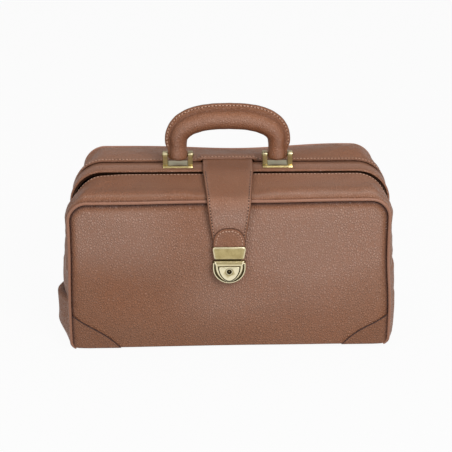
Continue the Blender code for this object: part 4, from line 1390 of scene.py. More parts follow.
@dataclass
class LeatherBody(Assembly):
    """Panels, piping, corner patches, ends, top bands, bottom, lining and studs."""

    piping_radius: float = 0.0019
    bottom_half: float = 0.1975
    bottom_corner: float = 0.012
    lining_thickness: float = 0.0012
    lining_wall_top: float = 0.185
    lining_end_top: float = 0.100
    stud_height: float = 0.005
    stud_radius: float = 0.008
    stud_x: float = 0.150
    stud_y: float = 0.065

    def build(self) -> list[Piece]:
        """Build every piece of the body.

        Returns:
            The pieces.
        """
        pieces = []
        for side in Side:
            panel = LeatherPanel(self.kit, side)
            pieces.append(panel.build())
            pieces.append(CornerPatch(self.kit, panel, End.LEFT).build())
            pieces.append(CornerPatch(self.kit, panel, End.RIGHT, length=0.0545, height=0.0425).build())
            pieces.append(self.piping(side))
            pieces += TopGusset(self.kit, side).build()
        full = EndGusset(self.kit, End.LEFT, lower=0.0175, upper=0.0092, fold=0.066, fold_depth=0.0030)
        flat = EndGusset(
            self.kit, End.RIGHT, lower=0.0104, upper=0.0090, fold=0.060, fold_depth=0.0004,
            tuck=0.0045, foot=0.75,
        )
        pieces += [full.build(), flat.build()]
        pieces += [self.bottom(), self.lining(), self.studs()]
        return pieces

    def piping(self, side: Side) -> Piece:
        """The welt in a panel's seam, up one side, over the top and down the other.

        Args:
            side: which panel.
        Returns:
            The piping.
        """
        radius = LAYOUT.bottom_radius + LAYOUT.panel_edge
        low = LAYOUT.base + LAYOUT.bottom_radius
        corner = LAYOUT.seam_radius(side)
        legs = np.linspace(low, LAYOUT.panel_top - corner, 40)[:-1]
        line = arch(LAYOUT.half_length, LAYOUT.panel_top, corner, legs)[:, :2]
        turn = np.linspace(math.radians(62), 0, 13)[:-1]
        foot_x = LAYOUT.half_length - radius + radius * np.cos(turn)
        foot_z = low - radius * np.sin(turn)
        start = np.stack([-foot_x, foot_z], -1)
        line = np.concatenate([start, line, start[::-1] * np.array([-1.0, 1.0])])
        inward = ease(-line[:, 1], -0.012, -0.004) * 0.0016
        depth = side.value * (LAYOUT.half_depth - inward)
        path = settle(np.stack([line[:, 0], depth, line[:, 1]], -1))
        name = f"{side.label}_piping"
        welt = self.kit.welts.run(f"{name}_welt", [path], self.finishes, Radius=self.piping_radius)
        return fit(welt, self.finishes.piping, Body.BAG, Slot.PIPING, name)

    def bottom(self) -> Piece:
        """The leather bottom, turned up a little at its rim.

        Returns:
            The bottom.
        """
        rim = [(0.010, 0.0050), (0.004, 0.0050), (0.0012, 0.0056)]
        rim += [(0.0, 0.0068), (0.0012, 0.0076), (0.010, 0.0076)]
        half_x, half_y = self.bottom_half, LAYOUT.gusset_edge
        rings = []
        for inset, z in rim:
            rings.append(self.round_rect(half_x - inset, half_y - inset, self.bottom_corner - inset * 0.5, z))
        piece = loft("bottom_leather", np.array(rings))
        return fit(piece, self.finishes.leather, Body.BAG, Slot.LEATHER, "bottom_panel")

    @staticmethod
    def round_rect(half_x: float, half_y: float, radius: float, z: float, fills: int = 24) -> list[Point]:
        """A level outline with round corners.

        Args:
            half_x, half_y: half its sides.
            radius: its corner radius.
            z: its height.
            fills: points along each side.
        Returns:
            The outline's points.
        """
        arcs = []
        for number, (sx, sy) in enumerate(((1, 1), (-1, 1), (-1, -1), (1, -1))):
            middle_x, middle_y = sx * (half_x - radius), sy * (half_y - radius)
            turns = [math.pi / 2 * (number + step / 6) for step in range(7)]
            arcs.append([(middle_x + radius * math.cos(a), middle_y + radius * math.sin(a)) for a in turns])
        points: list[Point] = []
        for arc, after in zip(arcs, arcs[1:] + arcs[:1]):
            points += [(x, y, z) for x, y in arc]
            (x, y), (next_x, next_y) = arc[-1], after[0]
            for share in (step / fills for step in range(1, fills)):
                points.append((x + (next_x - x) * share, y + (next_y - y) * share, z))
        return points

    def lining(self) -> Piece:
        """The cloth inside, loosely pleated, lower at the ends where the bag folds.

        Returns:
            The lining.
        """
        floor, half_x, half_y = 0.0118, 0.1958, 0.0980
        outline = np.array(self.round_rect(half_x, half_y, 0.009, 0.0, 40))
        slack = 0.0010 * Ripple(5, 0.04).at(outline) - 0.0010
        along = ease(half_x - np.abs(outline[:, 0]), 0.017, 0.051)
        rim = self.lining_end_top + (self.lining_wall_top - self.lining_end_top) * along
        tight_x, tight_y = 1 - self.lining_thickness / half_x, 1 - self.lining_thickness / half_y
        outer, inner = [], []
        for share in np.linspace(0.0, 1.0, 14):
            z = floor + (rim - floor) * share
            loose = slack * math.sin(math.pi * min(share * 1.05, 1.0))
            pull = 1 + loose / half_y
            x, y = outline[:, 0] * pull, outline[:, 1] * pull
            above = np.maximum(z, floor + self.lining_thickness)
            outer.append(np.stack([x, y, z], -1))
            inner.append(np.stack([x * tight_x, y * tight_y, above], -1))
        rings = np.array(outer + inner[::-1])
        return fit(loft("lining_twill", rings), self.finishes.cloth, Body.BAG, Slot.LINING, "lining")

    def studs(self) -> Piece:
        """The five low studs that the bag stands on.

        Returns:
            The studs, as one piece.
        """
        shares = ((0.0, 0.50), (0.04, 0.58), (0.16, 0.74), (0.34, 0.88), (0.56, 0.97), (0.72, 1.0))
        profile = [(self.stud_height * up, self.stud_radius * out) for up, out in shares]
        profile.append((self.stud_height - 0.0003, self.stud_radius))
        spots = [(0.0, 0.0)] + [(sx * self.stud_x, sy * self.stud_y) for sx in (-1, 1) for sy in (-1, 1)]
        piece = gather("base_studs", [spun(profile, (x, y, 0.0), (0, 0, 1)) for x, y in spots])
        nodes = ["middle_foot"] + [f"{a}_{b}_foot" for a in ("front", "rear") for b in ("left", "right")]
        return fit(piece, self.finishes.brass, Body.BAG, Slot.BRASS, *nodes)


@dataclass
class MouthFrame(Assembly):
    """The covered strip of the rear frame half with its front bead, and the hinge rivets."""

    thickness: float = 0.0022
    bead: float = 0.0010
    rivet_radius: float = 0.0025
    head_radius: float = 0.005
    head: float = 0.0014

    def build(self) -> list[Piece]:
        """Build and dress the strip and the rivets."""
        return [self.strip(), self.rivets()]

    def strip(self) -> Piece:
        """The leather-covered strip over the mouth, with a rolled bead on its front edge.

        Returns:
            The strip.
        """
        low = LAYOUT.pivot_height - LAYOUT.ear_radius * np.array([0.985, 0.93, 0.82, 0.66, 0.45, 0.22, 0.0])
        legs = np.concatenate([low, np.linspace(LAYOUT.pivot_height, LAYOUT.leg_top, 16)[1:-1]])
        line = arch(LAYOUT.frame_half, LAYOUT.frame_top, LAYOUT.frame_radius, legs)
        profile = [(0.0, -0.0012), (0.00015, -0.0002), (0.0008, 0.0007), (0.0017, self.bead)]
        profile += [(0.0027, 0.0007), (0.0034, 0.0001), (0.0042, -0.0001), (0.0060, 0.0000)]
        rings, shades = [], []
        for x, z, nx, nz in line:
            front, rear = LAYOUT.leg_edges(min(z, LAYOUT.leg_top))
            squeeze = min((rear - front) / 0.016, 1.0)
            ring, shade = [], []
            for step, height in profile:
                ring.append((front + step * squeeze, height * squeeze))
                # painted shade in the dip behind the bead, a faint painted sheen on the rest of the face
                shade.append(0.55 if 0.003 < step < 0.005 else -0.10)
            middle = front + (rear - front) * 0.6
            ring += [(middle, 0.0002 * squeeze), (rear - 0.0008 * squeeze, 0.0), (rear, -0.0006)]
            ring += [(rear, -self.thickness), (front + 0.001 * squeeze, -self.thickness)]
            # painted sheen on the middle, painted shade on the rear edge and the underside
            shade += [-0.30, 0.4, 0.7, 0.7, 0.7]
            rings.append([(x + nx * h, y, z + nz * h) for y, h in ring])
            shades.append(shade)
        strip = loft("mouth_strip_leather", settle(np.array(rings)), np.array(shades), crease=50.0)
        return fit(strip, self.finishes.leather, Body.BAG, Slot.LEATHER, "rear_frame_cover")

    def rivets(self) -> Piece:
        """The two rivets that the frame's halves turn on.

        Returns:
            Both rivets, as one piece.
        """
        inside, outside = 0.1954, 0.2053
        r, head, neck = self.head_radius, self.head, self.rivet_radius
        dome = [(1.0, 0.12), (0.93, 0.42), (0.76, 0.68), (0.5, 0.88), (0.2, 0.98), (0.0, 1.0)]
        profile = [(inside - head * up, r * wide) for up, wide in dome]
        profile += [(inside, neck), (outside, neck)]
        profile += [(outside + head * up, r * wide) for up, wide in reversed(dome)]
        parts = []
        for end in End:
            turned = [(end.value * along, wide) for along, wide in profile]
            parts.append(spun(turned, (0.0, 0.0, LAYOUT.pivot_height), (1, 0, 0), 24))
        piece = gather("hinge_rivets", parts)
        return fit(piece, self.finishes.brass, Body.BAG, Slot.BRASS, "left_hinge_rivet", "right_hinge_rivet")


@dataclass
class CarryHandle(Assembly):
    """A rolled grip with a stitched flange, two brass brackets and their pins."""

    span: float = 0.1264
    rise: float = 0.018
    height: float = 0.0304
    squareness: float = 2.40
    radius: float = 0.0127
    end_radius: float = 0.0097
    end_bulge: float = 0.0017
    sink: float = 0.0012
    flange: float = 0.0084
    leg_flange: float = 0.0063
    end_flange: float = 0.0025
    flange_half: float = 0.0021
    tail: float = 0.0052
    bracket_width: float = 0.0377
    bracket_depth: float = 0.020
    ear: float = 0.0058
    ear_depth: float = 0.0112
    ear_height: float = 0.0179
    bracket_lip: float = 0.0022
    bracket_bevel: float = 0.0009
    bracket_seat: float = 0.0003
    plate: float = 0.002
    pin_radius: float = 0.002
    pin_head_radius: float = 0.0032
    pin_head: float = 0.0009

    def path(self) -> Array:
        """The grip's middle line.

        Returns:
            Rows of x, z, outward x and outward z.
        """
        half, base, power = self.span / 2, LAYOUT.pin_height + self.rise, 2 / self.squareness
        left = [(-half, z) for z in np.linspace(LAYOUT.pin_height - self.tail, base, 16)[:-1]]
        top = []
        for angle in math.pi - math.pi * (0.5 - 0.5 * np.cos(np.linspace(0, math.pi, 70))):
            c, s = math.cos(angle), math.sin(angle)
            top.append((half * math.copysign(abs(c) ** power, c), base + self.height * abs(s) ** power))
        points = np.array(left + top + [(-x, z) for x, z in reversed(left)])
        step = np.linalg.norm(np.diff(points, axis=0), axis=1)
        length = np.concatenate([[0.0], np.cumsum(step)])
        even = np.linspace(0.0, length[-1], 110)
        points = np.stack([np.interp(even, length, points[:, k]) for k in range(2)], -1)
        run = np.gradient(points, axis=0)
        run /= np.linalg.norm(run, axis=1)[:, None]
        return np.concatenate([points, -run[:, 1:2], run[:, :1]], axis=1)

    def section(self, above: float) -> tuple[float, float]:
        """Size of the grip's cross-section.

        Args:
            above: height above the pins.
        Returns:
            The roll's radius and the flange's reach.
        """
        share = above / (self.rise + self.height)
        radius = self.end_radius + (self.radius - self.end_radius) * float(ease(share, 0.0, 0.95))
        radius += self.end_bulge * float(hump(above, 0.0, 0.008))
        flange = self.end_flange + (self.leg_flange - self.end_flange) * float(ease(above, 0.0040, 0.0160))
        flange += (self.flange - self.leg_flange) * float(ease(above, 0.024, 0.046))
        under = max(-above / self.tail, 0.0)
        return radius * math.sqrt(max(1 - 0.35 * under ** 4, 0.0)), flange

    def build(self) -> list[Piece]:
        """Build and dress the handle.

        Returns:
            The grip, its stitches, the brackets and the pins.
        """
        grip, sewn = self.grip()
        brackets = [self.bracket(end) for end in End]
        return [grip, sewn, *brackets, self.pins()]

    def grip(self) -> tuple[Piece, Piece]:
        """The padded roll with its flange, and the flange's stitches on both faces.

        Returns:
            The grip and its stitches.
        """
        path = self.path()
        turns = np.linspace(math.radians(30), math.pi, 15)
        # painted light on the roll: shade in the crease by the flange, a highlight on its upper front, shade
        # on its underside
        glow = 0.18 * (1 - ease(turns, 0.52, 0.95)) - 0.30 * hump(turns, 1.35, 0.38)
        glow = glow + 0.14 * ease(turns, 1.9, 2.6)
        rings, shades, seams = [], [], ([], [])
        wrinkle = Ripple(23, 0.016)
        for x, z, nx, nz in path:
            radius, flange = self.section(z - LAYOUT.pin_height)
            thin = min(self.flange_half, radius * 0.3)
            tip, seat = radius + flange - self.sink, radius - self.sink
            # darker along the flange's edge, painted shade in the crease where the flange meets the roll
            outline = [(tip, 0.0, 0.55), (tip - 0.0003, thin * 0.62, 0.35), (tip - 0.0010, thin * 0.95, 0.05),
                       (tip - flange * 0.55, thin * 1.02, 0.0), (seat + flange * 0.08, thin * 1.12, 0.30),
                       (seat - radius * 0.055, thin * 1.5, 0.40), (seat - radius * 0.09, radius * 0.38, 0.22)]
            for angle, shine in zip(turns, glow):
                outline.append((radius * math.cos(angle) - self.sink, radius * math.sin(angle), shine))
            ring = outline + [(o, -a, s) for o, a, s in outline[-2:0:-1]]
            points = np.array([(x + o * nx, a, z + o * nz) for o, a, _ in ring])
            swell = 0.00018 * wrinkle.at(points)
            points += swell[:, None] * np.array([nx, 0.0, nz])
            rings.append(points)
            shades.append([s for _, _, s in ring])
            if z - LAYOUT.pin_height > 0.012:
                reach = tip - min(0.0026, flange * 0.45)
                for run, face in zip(seams, (-1, 1)):
                    run.append((x + reach * nx, face * (thin + 0.0001), z + reach * nz))
        grip = loft("handle_roll", np.array(rings), np.array(shades), crease=60.0)
        fit(grip, self.finishes.grip, Body.HANDLE, Slot.LEATHER, "handle_grip")
        lines = [np.array(run) for run in seams]
        return grip, self.sew("handle_stitches", lines, 3, Body.HANDLE, Width=0.0013)

    def bracket(self, end: End) -> Piece:
        """A cast channel with two round-topped ears.

        Args:
            end: which end of the handle it holds.
        Returns:
            The bracket.
        """
        low = LAYOUT.frame_top + self.bracket_seat
        plate, radius, half_depth = low + self.plate, self.ear_depth / 2, self.bracket_depth / 2
        tall = low + self.ear_height - radius
        turn = np.linspace(0, math.pi, 15)
        front = -half_depth - self.bracket_lip
        foot = [(front, low), (half_depth, low), (half_depth, plate), (radius, plate)]
        arc = [(math.copysign(abs(math.cos(a)) ** 0.6, math.cos(a)), math.sin(a) ** 0.6) for a in turn]
        ear = foot + [(radius * across, tall + radius * up) for across, up in arc]
        floor = foot + [(radius * across, plate) for across, _ in arc]
        close = [(-radius, plate), (front + 0.0014, plate)]
        half = self.bracket_width / 2
        stations = [(-half, ear), (self.ear - half, ear)]
        stations += [(self.ear - half, floor), (self.ear + 0.0016 - half, floor)]
        stations += [(-x, outline) for x, outline in reversed(stations)]
        centre = end.value * self.span / 2
        rings = np.array([[(centre + x, y, z) for y, z in outline + close] for x, outline in stations])
        name = f"{end.label}_handle_bracket"
        piece = loft(f"{name}_cast", rings)
        bevel = piece.modifiers.new("edges", "BEVEL")
        bevel.width = self.bracket_bevel
        bevel.segments = 3
        bevel.limit_method = "ANGLE"
        bevel.angle_limit = math.radians(42)
        smooth(apply_modifiers(piece).data, 48.0)
        # painted light on the cast: painted shade on the front lip, a painted reflection on the floor between
        # the ears, painted highlights on the ear tops, the ear edges left light by painted highlight and
        # rubbed wear, the ear faces darker
        shade = []
        for x, y, z in (vertex.co for vertex in piece.data.vertices):
            aside = half - abs(x - centre)
            lip = y < front + 0.0020
            crown = z > tall + radius * 0.6
            inside = aside > self.ear + 0.0010 and z < plate + 0.0005
            worn_and_lit = y < 0.001 - radius and min(aside, abs(self.ear - aside)) < 0.0006
            shade.append(0.12 if lip else -0.85 if inside else -0.42 if crown else 0.0 if worn_and_lit else 0.62)
        piece.data.attributes.new(SHADE, "FLOAT", "POINT").data.foreach_set("value", shade)
        return fit(piece, self.finishes.brass, Body.BAG, Slot.BRASS, name)

    def pins(self) -> Piece:
        """The domed pins that the grip's ends turn on.

        Returns:
            Both pins, as one piece.
        """
        half, wide, head = self.bracket_width / 2 + 0.0003, self.pin_head_radius, self.pin_head
        dome = [(1.0, 0.15), (0.9, 0.5), (0.68, 0.78), (0.35, 0.95), (0.0, 1.0)]
        profile = [(-half - head * up, wide * out) for up, out in dome]
        profile += [(-half, self.pin_radius), (half, self.pin_radius)]
        profile += [(half + head * up, wide * out) for up, out in reversed(dome)]
        places = [(end.value * self.span / 2, 0.0, LAYOUT.pin_height) for end in End]
        parts = [spun(profile, place, (1, 0, 0), 24) for place in places]
        # painted shade on the shafts between the grip and the ears, the heads a little darker
        dark = banded([0.2] * 5 + [0.75] * 2 + [0.2] * 5, 24)
        piece = gather("handle_pins", parts, [dark, dark])
        return fit(piece, self.finishes.brass, Body.BAG, Slot.BRASS, "left_handle_pin", "right_handle_pin")


@dataclass
class ClosureStrap(Assembly):
    """The strap from under the mouth's lip over the front, with its sewn tab and edge stitching."""

    top_half: float = 0.032
    end_half: float = 0.0222
    taper: float = 0.0040
    bend_radius: float = 0.016
    bend_top: float = 0.2075
    end_height: float = 0.132
    root: float = 0.0135
    hinge: float = -0.0245
    tab_half: float = 0.0199
    tab_base: float = 0.1467
    tab_top: float = 0.1705
    tab_thickness: float = 0.0016
    tab_round: float = 0.80
    seam: float = 0.0030
    sewn_rise: float = 0.00015

    def line(self) -> Array:
        """The middle of the strap's outer face, from its root to its end.

        Returns:
            Rows of y, z, outward y, outward z and share of the length from the hinge.
        """
        bend = np.array([LAYOUT.strap_front + self.bend_radius, self.bend_top - self.bend_radius])

        def on_bend(angle: float) -> Array:
            """The bend's point at an angle."""
            return bend + self.bend_radius * np.array([math.cos(angle), math.sin(angle)])

        start_angle = math.radians(96)
        first = on_bend(start_angle)
        begin = np.array([self.hinge, LAYOUT.strap_top])
        reach = np.linalg.norm(first - begin)
        points = [np.array([y, LAYOUT.strap_top]) for y in np.linspace(self.root, self.hinge, 10)[:-1]]
        leave, arrive = np.array([-1.0, 0.03]) * reach, np.array([-0.9945, -0.1045]) * reach * 1.2
        for t in np.linspace(0, 1, 24)[:-1]:
            points.append(
                (2 * t ** 3 - 3 * t ** 2 + 1) * begin + (t ** 3 - 2 * t ** 2 + t) * leave
                + (3 * t ** 2 - 2 * t ** 3) * first + (t ** 3 - t ** 2) * arrive
            )
        points += [on_bend(angle) for angle in np.linspace(start_angle, math.pi, 20)[:-1]]
        points += [np.array([LAYOUT.strap_front, z]) for z in np.linspace(bend[1], self.end_height, 22)]
        points = np.array(points)
        run = np.gradient(points, axis=0)
        run /= np.linalg.norm(run, axis=1)[:, None]
        length = np.concatenate([[0.0], np.cumsum(np.linalg.norm(np.diff(points, axis=0), axis=1))])
        hinge_length = np.interp(-self.hinge, -points[:10, 0], length[:10])
        share = np.clip((length - hinge_length) / (length[-1] - hinge_length), 0.0, 1.0)
        return np.column_stack([points, run[:, 1], -run[:, 0], share])

    def half_at(self, share: Array | float) -> Array | float:
        """Half the strap's width at a share of its length from the hinge."""
        return self.top_half + (self.end_half - self.top_half) * share - self.taper * ease(share, 0.55, 1.0)

    def build(self) -> list[Piece]:
        """Build and dress the strap, its tab and the stitches.

        Returns:
            The strap, the tab and the stitches.
        """
        line = self.line()
        t = LAYOUT.strap_thickness
        rings, shades = [], []
        for y, z, oy, oz, share in line:
            half = float(self.half_at(share))
            # the side edges darker, from edge paint and painted shade; the rim inside the stitches lighter, a
            # painted highlight
            upper = [(-half, -0.5 * t, 0.8), (-half + 0.0002, -0.25 * t, 0.75)]
            upper += [(-half + 0.0007, -0.06 * t, 0.2), (-half + 0.0016, 0.0, -0.20)]
            # painted sheen across the strap where it turns down the front
            painted_light = -0.56 * float(hump(share, 0.68, 0.13))
            middle = [(half * s, 0.0003 * (1 - s * s), painted_light) for s in np.linspace(-0.75, 0.75, 7)]
            across = upper + middle + [(-x, h, s) for x, h, s in reversed(upper)]
            # painted shade on the underside
            across += [(half - 0.0005, -0.9 * t, 0.7), (half - 0.002, -t, 0.5), (0.0, -t, 0.5),
                       (-half + 0.002, -t, 0.5), (-half + 0.0005, -0.9 * t, 0.7)]
            rings.append([(x, y + oy * h, z + oz * h) for x, h, _ in across])
            shades.append([s for _, _, s in across])
        strap = loft("closure_strap", np.array(rings), np.array(shades), crease=50.0)
        strap.data.materials.append(self.finishes.leather)
        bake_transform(strap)
        declare(strap, Slot.LEATHER, "strap_root", "strap_flap")
        tab, arc = self.tab()
        edge = [
            (float(self.half_at(share)) - self.seam, y + oy * self.sewn_rise, z + oz * self.sewn_rise)
            for y, z, oy, oz, share in line if y < self.hinge - 0.008 and z > self.tab_base
        ]
        runs = [np.array(edge) * (sign, 1.0, 1.0) for sign in (-1, 1)]
        sewn = self.sew(
            "strap_stitches", runs, 5, Body.STRAP, Pitch=0.0040, Length=0.0022, Width=0.0006, Hole=0.0017
        )
        ring = self.sew("tab_stitches", [arc], 6, Body.STRAP, Pitch=0.0038, Length=0.0026, Hole=0.0006)
        return [strap, tab, sewn, ring]

    def tab(self) -> tuple[Piece, Array]:
        """The round-topped tab sewn over the strap's end, and the line of its stitches.

        Returns:
            The tab and the points that its stitches follow.
        """
        back = LAYOUT.strap_front - 0.0004
        front = back - self.tab_thickness
        rise = self.tab_top - self.tab_base

        def outline(inset: float, y: float) -> list[Point]:
            """One outline of the tab, drawn in by an inset."""
            turn = np.linspace(0, math.pi, 33)
            arc = []
            for c, s in zip(np.cos(turn), np.sin(turn)):
                x = (self.tab_half - inset) * math.copysign(abs(c) ** self.tab_round, c)
                arc.append((x, y, self.tab_base + (rise - inset) * max(s, 0.0) ** self.tab_round))
            return arc + [(x * (self.tab_half - inset), y, self.tab_base) for x in (-0.5, 0.0, 0.5)]

        # darker on the back and round the edge, with a faint painted sheen on the face
        steps = [(0.0, back, 0.9), (0.0, back - 0.6 * self.tab_thickness, 0.9)]
        steps += [(0.0005, front + 0.00015, 0.75), (0.0012, front, 0.0)]
        steps += [(0.004, front - 0.0001, -0.16), (0.012, front - 0.0003, -0.06)]
        rings = np.array([outline(inset, y) for inset, y, _ in steps])
        tab = loft("strap_tab_leather", rings, banded([dark for _, _, dark in steps], rings.shape[1]))
        fit(tab, self.finishes.leather, Body.STRAP, Slot.LEATHER, "strap_tab")
        arc = np.array([p for p in outline(0.0036, front - 0.0002) if p[2] > self.tab_base + 0.0015])
        return tab, arc


@dataclass
class TuckLock(Assembly):
    """The brass lock: hasp plate on the strap, body on the panel, sprung shield button and key cylinder."""

    width: float = 0.040
    top: float = 0.1288
    centre: float = 0.1186
    depth: float = 0.0085
    bar: float = 0.0064
    shoulder: float = 0.0028
    button_half: float = 0.0129
    button_top: float = 0.1212
    button_low: float = 0.1020
    button_thickness: float = 0.0045
    button_proud: float = 0.0006
    key_height: float = 0.1148
    cylinder_radius: float = 0.0042
    keyway_radius: float = 0.0031
    hasp_top: float = 0.1464
    hasp_bottom: float = 0.1292
    hasp_top_half: float = 0.0206
    hasp_bottom_half: float = 0.0189
    hasp_thickness: float = 0.0034
    hasp_corner: float = 0.0034
    tongue_half: float = 0.010
    slot_back: float = -0.1119
    slot_front: float = -0.1161

    @property
    def front(self) -> float:
        """Y of the lock body's front face."""
        return LAYOUT.lock_back - self.depth

    @staticmethod
    def shield(width: float, top: float, centre: float, y: float, inset: float = 0.0) -> list[Point]:
        """Outline of a plate that is flat on top and half round below.

        Args:
            width: its width.
            top: height of its flat edge.
            centre: height of the round's middle.
            y: where it lies.
            inset: how far it is drawn in.
        Returns:
            The outline's points.
        """
        radius = width / 2 - inset
        high = top - inset
        points = [(radius * s, y, high) for s in (1.0, 0.5, 0.0, -0.5, -1.0)]
        points += [(-radius, y, centre + (high - centre) * s) for s in (0.66, 0.33)]
        for step in range(33):
            angle = math.pi + math.pi * step / 32
            points.append((radius * math.cos(angle), y, centre + radius * math.sin(angle)))
        points += [(radius, y, centre + (high - centre) * s) for s in (0.33, 0.66)]
        return points

    @staticmethod
    def oval(half: float, top: float, low: float, y: float) -> list[Point]:
        """Outline of a plate that is flat on top and narrows in a half oval, point for point like the shield.

        Args:
            half: half its width.
            top: height of its flat edge.
            low: height of its lowest point.
            y: where it lies.
        Returns:
            The outline's points.
        """
        points = [(half * s, y, top) for s in (1.0, 0.5, 0.0, -0.5, -1.0)]
        for step in range(1, 38):
            c, s = math.cos(math.pi * step / 38), math.sin(math.pi * step / 38)
            points.append((-half * math.copysign(abs(c) ** 1.14, c), y, top - (top - low) * s))
        return points

    @staticmethod
    def plate(name: str, outlines: Sequence[list[Point]], shades: Sequence[float]) -> Piece:
        """Loft outlines into a plate, from the back to the front; a shade below 0 shines."""
        rings = np.array(outlines)
        return loft(name, rings, banded(shades, rings.shape[1]), crease=35.0)

    def build(self) -> list[Piece]:
        """Build and dress the body, its bar, the hasp, the button and the cylinder."""
        makers = (self.body, self.bar_piece, self.hasp, self.button, self.cylinder)
        return [make() for make in makers]

    def body(self) -> Piece:
        """The lock body: a stepped half-round plate with the button's pocket and the tongue's slot.

        Returns:
            The body.
        """
        back, front = LAYOUT.lock_back, self.front
        # painted highlights on the bevels where shade is below 0, painted shade on the back and in the
        # crescents round the button's pocket
        rim = [(self.depth, 0.0, 0.7), (0.0022, 0.0, 0.2), (0.0012, 0.0002, -0.3), (0.0008, 0.0008, -0.9)]
        rim += [(0.0009, 0.0014, -0.8), (0.0016, 0.0018, 0.4), (0.0028, 0.0021, 0.85)]
        ring = [(0.0028, 0.0170, 0.1009, 0.85), (0.0010, 0.0168, 0.1010, 0.5), (0.0003, 0.0164, 0.1011, -0.6)]
        ring += [(0.0, 0.0159, 0.1012, -0.9), (0.0, 0.0150, 0.1013, -0.7)]
        flat, brow = self.top - self.shoulder, self.button_top + 0.0014
        outlines = [self.shield(self.width, flat, self.centre, front + deep, inset) for deep, inset, _ in rim]
        outlines += [self.oval(half, brow, low, front + deep) for deep, half, low, _ in ring]
        plate = self.plate("lock_body_cast", outlines, [step[-1] for step in rim + ring])
        wide, high, low = self.button_half + 0.0009, self.button_top + 0.0007, self.button_low - 0.0006
        ends = [self.oval(wide, high, low, y) for y in (back - 0.0012, front - 0.01)]
        # painted shade on the pocket's walls where it is cut
        pocket = self.plate("pocket", ends, (1.0, 0.8))
        slot_half, slot_low, slot_high = self.tongue_half + 0.0003, self.top - 0.0037, self.top + 0.003
        near, far = self.slot_front, self.slot_back
        section = ((far, slot_low), (near, slot_low), (near, slot_high), (far, slot_high))
        rings = [[(x, y, z) for y, z in section] for x in (-slot_half, slot_half)]
        # painted shade on the slot's walls where it is cut
        slot = loft("slot", np.array(rings), np.ones((2, 4)))
        carve(plate, pocket, slot)
        return fit(plate, self.finishes.brass, Body.BAG, Slot.BRASS, "lock_body")

    def bar_piece(self) -> Piece:
        """The rounded bar across the top of the lock body's face.

        Returns:
            The bar.
        """
        high, low = self.top, self.top - self.bar
        half, hip = self.width / 2 - 0.0014, 0.0020
        section = [(0.0022, low), (0.0, low), (-0.0008, low + 0.0002), (-0.0014, low + 0.0009)]
        section += [(-0.0018, (low + high) / 2), (-0.0014, high - 0.0009), (-0.0008, high - 0.0002)]
        section += [(0.0, high), (0.0022, high)]
        tips = [(1.0, 0.15), (0.96, 0.7), (0.90, 1.0), (0.86, 1.0)]
        rings, shades = [], []
        for share, scale in [(-share, scale) for share, scale in tips] + [(0.0, 1.0)] + tips[::-1]:
            ring = []
            for depth, z in section:
                across = share * (half - hip * (high - z) / self.bar)
                ring.append((across, self.front + (depth if depth > 0 else depth * scale), z))
            rings.append(ring)
            # painted highlights on the bevels and the rounded tips, painted shade on the back and underneath
            tip_highlight = -0.9 if abs(share) > 0.88 else 0.0
            shades.append([0.9, 0.8, tip_highlight, -0.8, tip_highlight - 0.15, tip_highlight - 0.1, -0.5, 0.3, 0.9])
        piece = loft("lock_bar_cast", np.array(rings), np.array(shades))
        return fit(piece, self.finishes.brass, Body.BAG, Slot.BRASS)

    def hasp(self) -> Piece:
        """The bevelled plate on the strap's end, with its tongue.

        Returns:
            The hasp.
        """
        back = LAYOUT.strap_front - 0.0003
        front = back - self.hasp_thickness

        def outline(y: float, inset: float) -> list[Point]:
            """One outline of the plate, drawn in by an inset."""
            wide, narrow = self.hasp_top_half - inset, self.hasp_bottom_half - inset
            r = max(self.hasp_corner - inset * 0.6, 0.0004)
            high, low = self.hasp_top - inset - r, self.hasp_bottom + inset + r
            corners = [(wide - r, high, 0.0), (-wide + r, high, 0.5)]
            corners += [(-narrow + r, low, 1.0), (narrow - r, low, 1.5)]
            points = []
            for cx, cz, start in corners:
                for step in range(5):
                    angle = math.pi * (start + 0.125 * step)
                    points.append((cx + r * math.cos(angle), y, cz + r * math.sin(angle)))
            return points

        # painted highlights on the bevel, painted shade on the back, the face plain
        steps = [(self.hasp_thickness, 0.0, 0.6), (0.0020, 0.0, 0.2), (0.0012, 0.0003, -0.3)]
        steps += [(0.0006, 0.0008, -0.8), (0.0003, 0.0015, -0.5)]
        steps += [(0.0003, 0.0024, -0.05), (0.0002, 0.0065, 0.0)]
        plate = np.array([outline(front + deep, inset) for deep, inset, _ in steps])
        shade = banded([dark for _, _, dark in steps], plate.shape[1])
        half, near = self.tongue_half, back - 0.0003
        tongue = []
        for down, thick in ((-0.001, 0.0012), (0.0026, 0.0012), (0.0034, 0.0008)):
            far, z = near - thick, self.hasp_bottom - down
            tongue.append([(-half, near, z), (half, near, z), (half, far, z), (-half, far, z)])
        rings = np.array(tongue)
        # painted shade on the tongue
        piece = gather("lock_hasp_plate", [plate, rings], [shade, np.full(rings.shape[:2], 0.4)])
        return fit(piece, self.finishes.brass, Body.STRAP, Slot.BRASS, "lock_hasp")

    def button(self) -> Piece:
        """The shield button, bored for the key cylinder.

        Returns:
            The button.
        """
        face = self.front - self.button_proud
        # painted shade on the back, painted highlights on the bevel and over the whole face
        steps = [(self.button_thickness, 0.0, 1.0), (0.0013, 0.0, 0.9), (0.0008, 0.0003, 0.2)]
        steps += [(0.0003, 0.0008, -1.0), (0.0, 0.0014, -0.9), (-0.0001, 0.003, -0.85)]
        half, top, low = self.button_half, self.button_top, self.button_low
        outlines = [
            self.oval(half - inset, top - inset, low + inset, face + deep) for deep, inset, _ in steps
        ]
        piece = self.plate("lock_button_shield", outlines, [dark for _, _, dark in steps])
        bore = [(-0.0033, self.cylinder_radius + 0.0003), (0.004, self.cylinder_radius + 0.0003)]
        rings = spun(bore, (0.0, face, self.key_height), (0, -1, 0), 40)
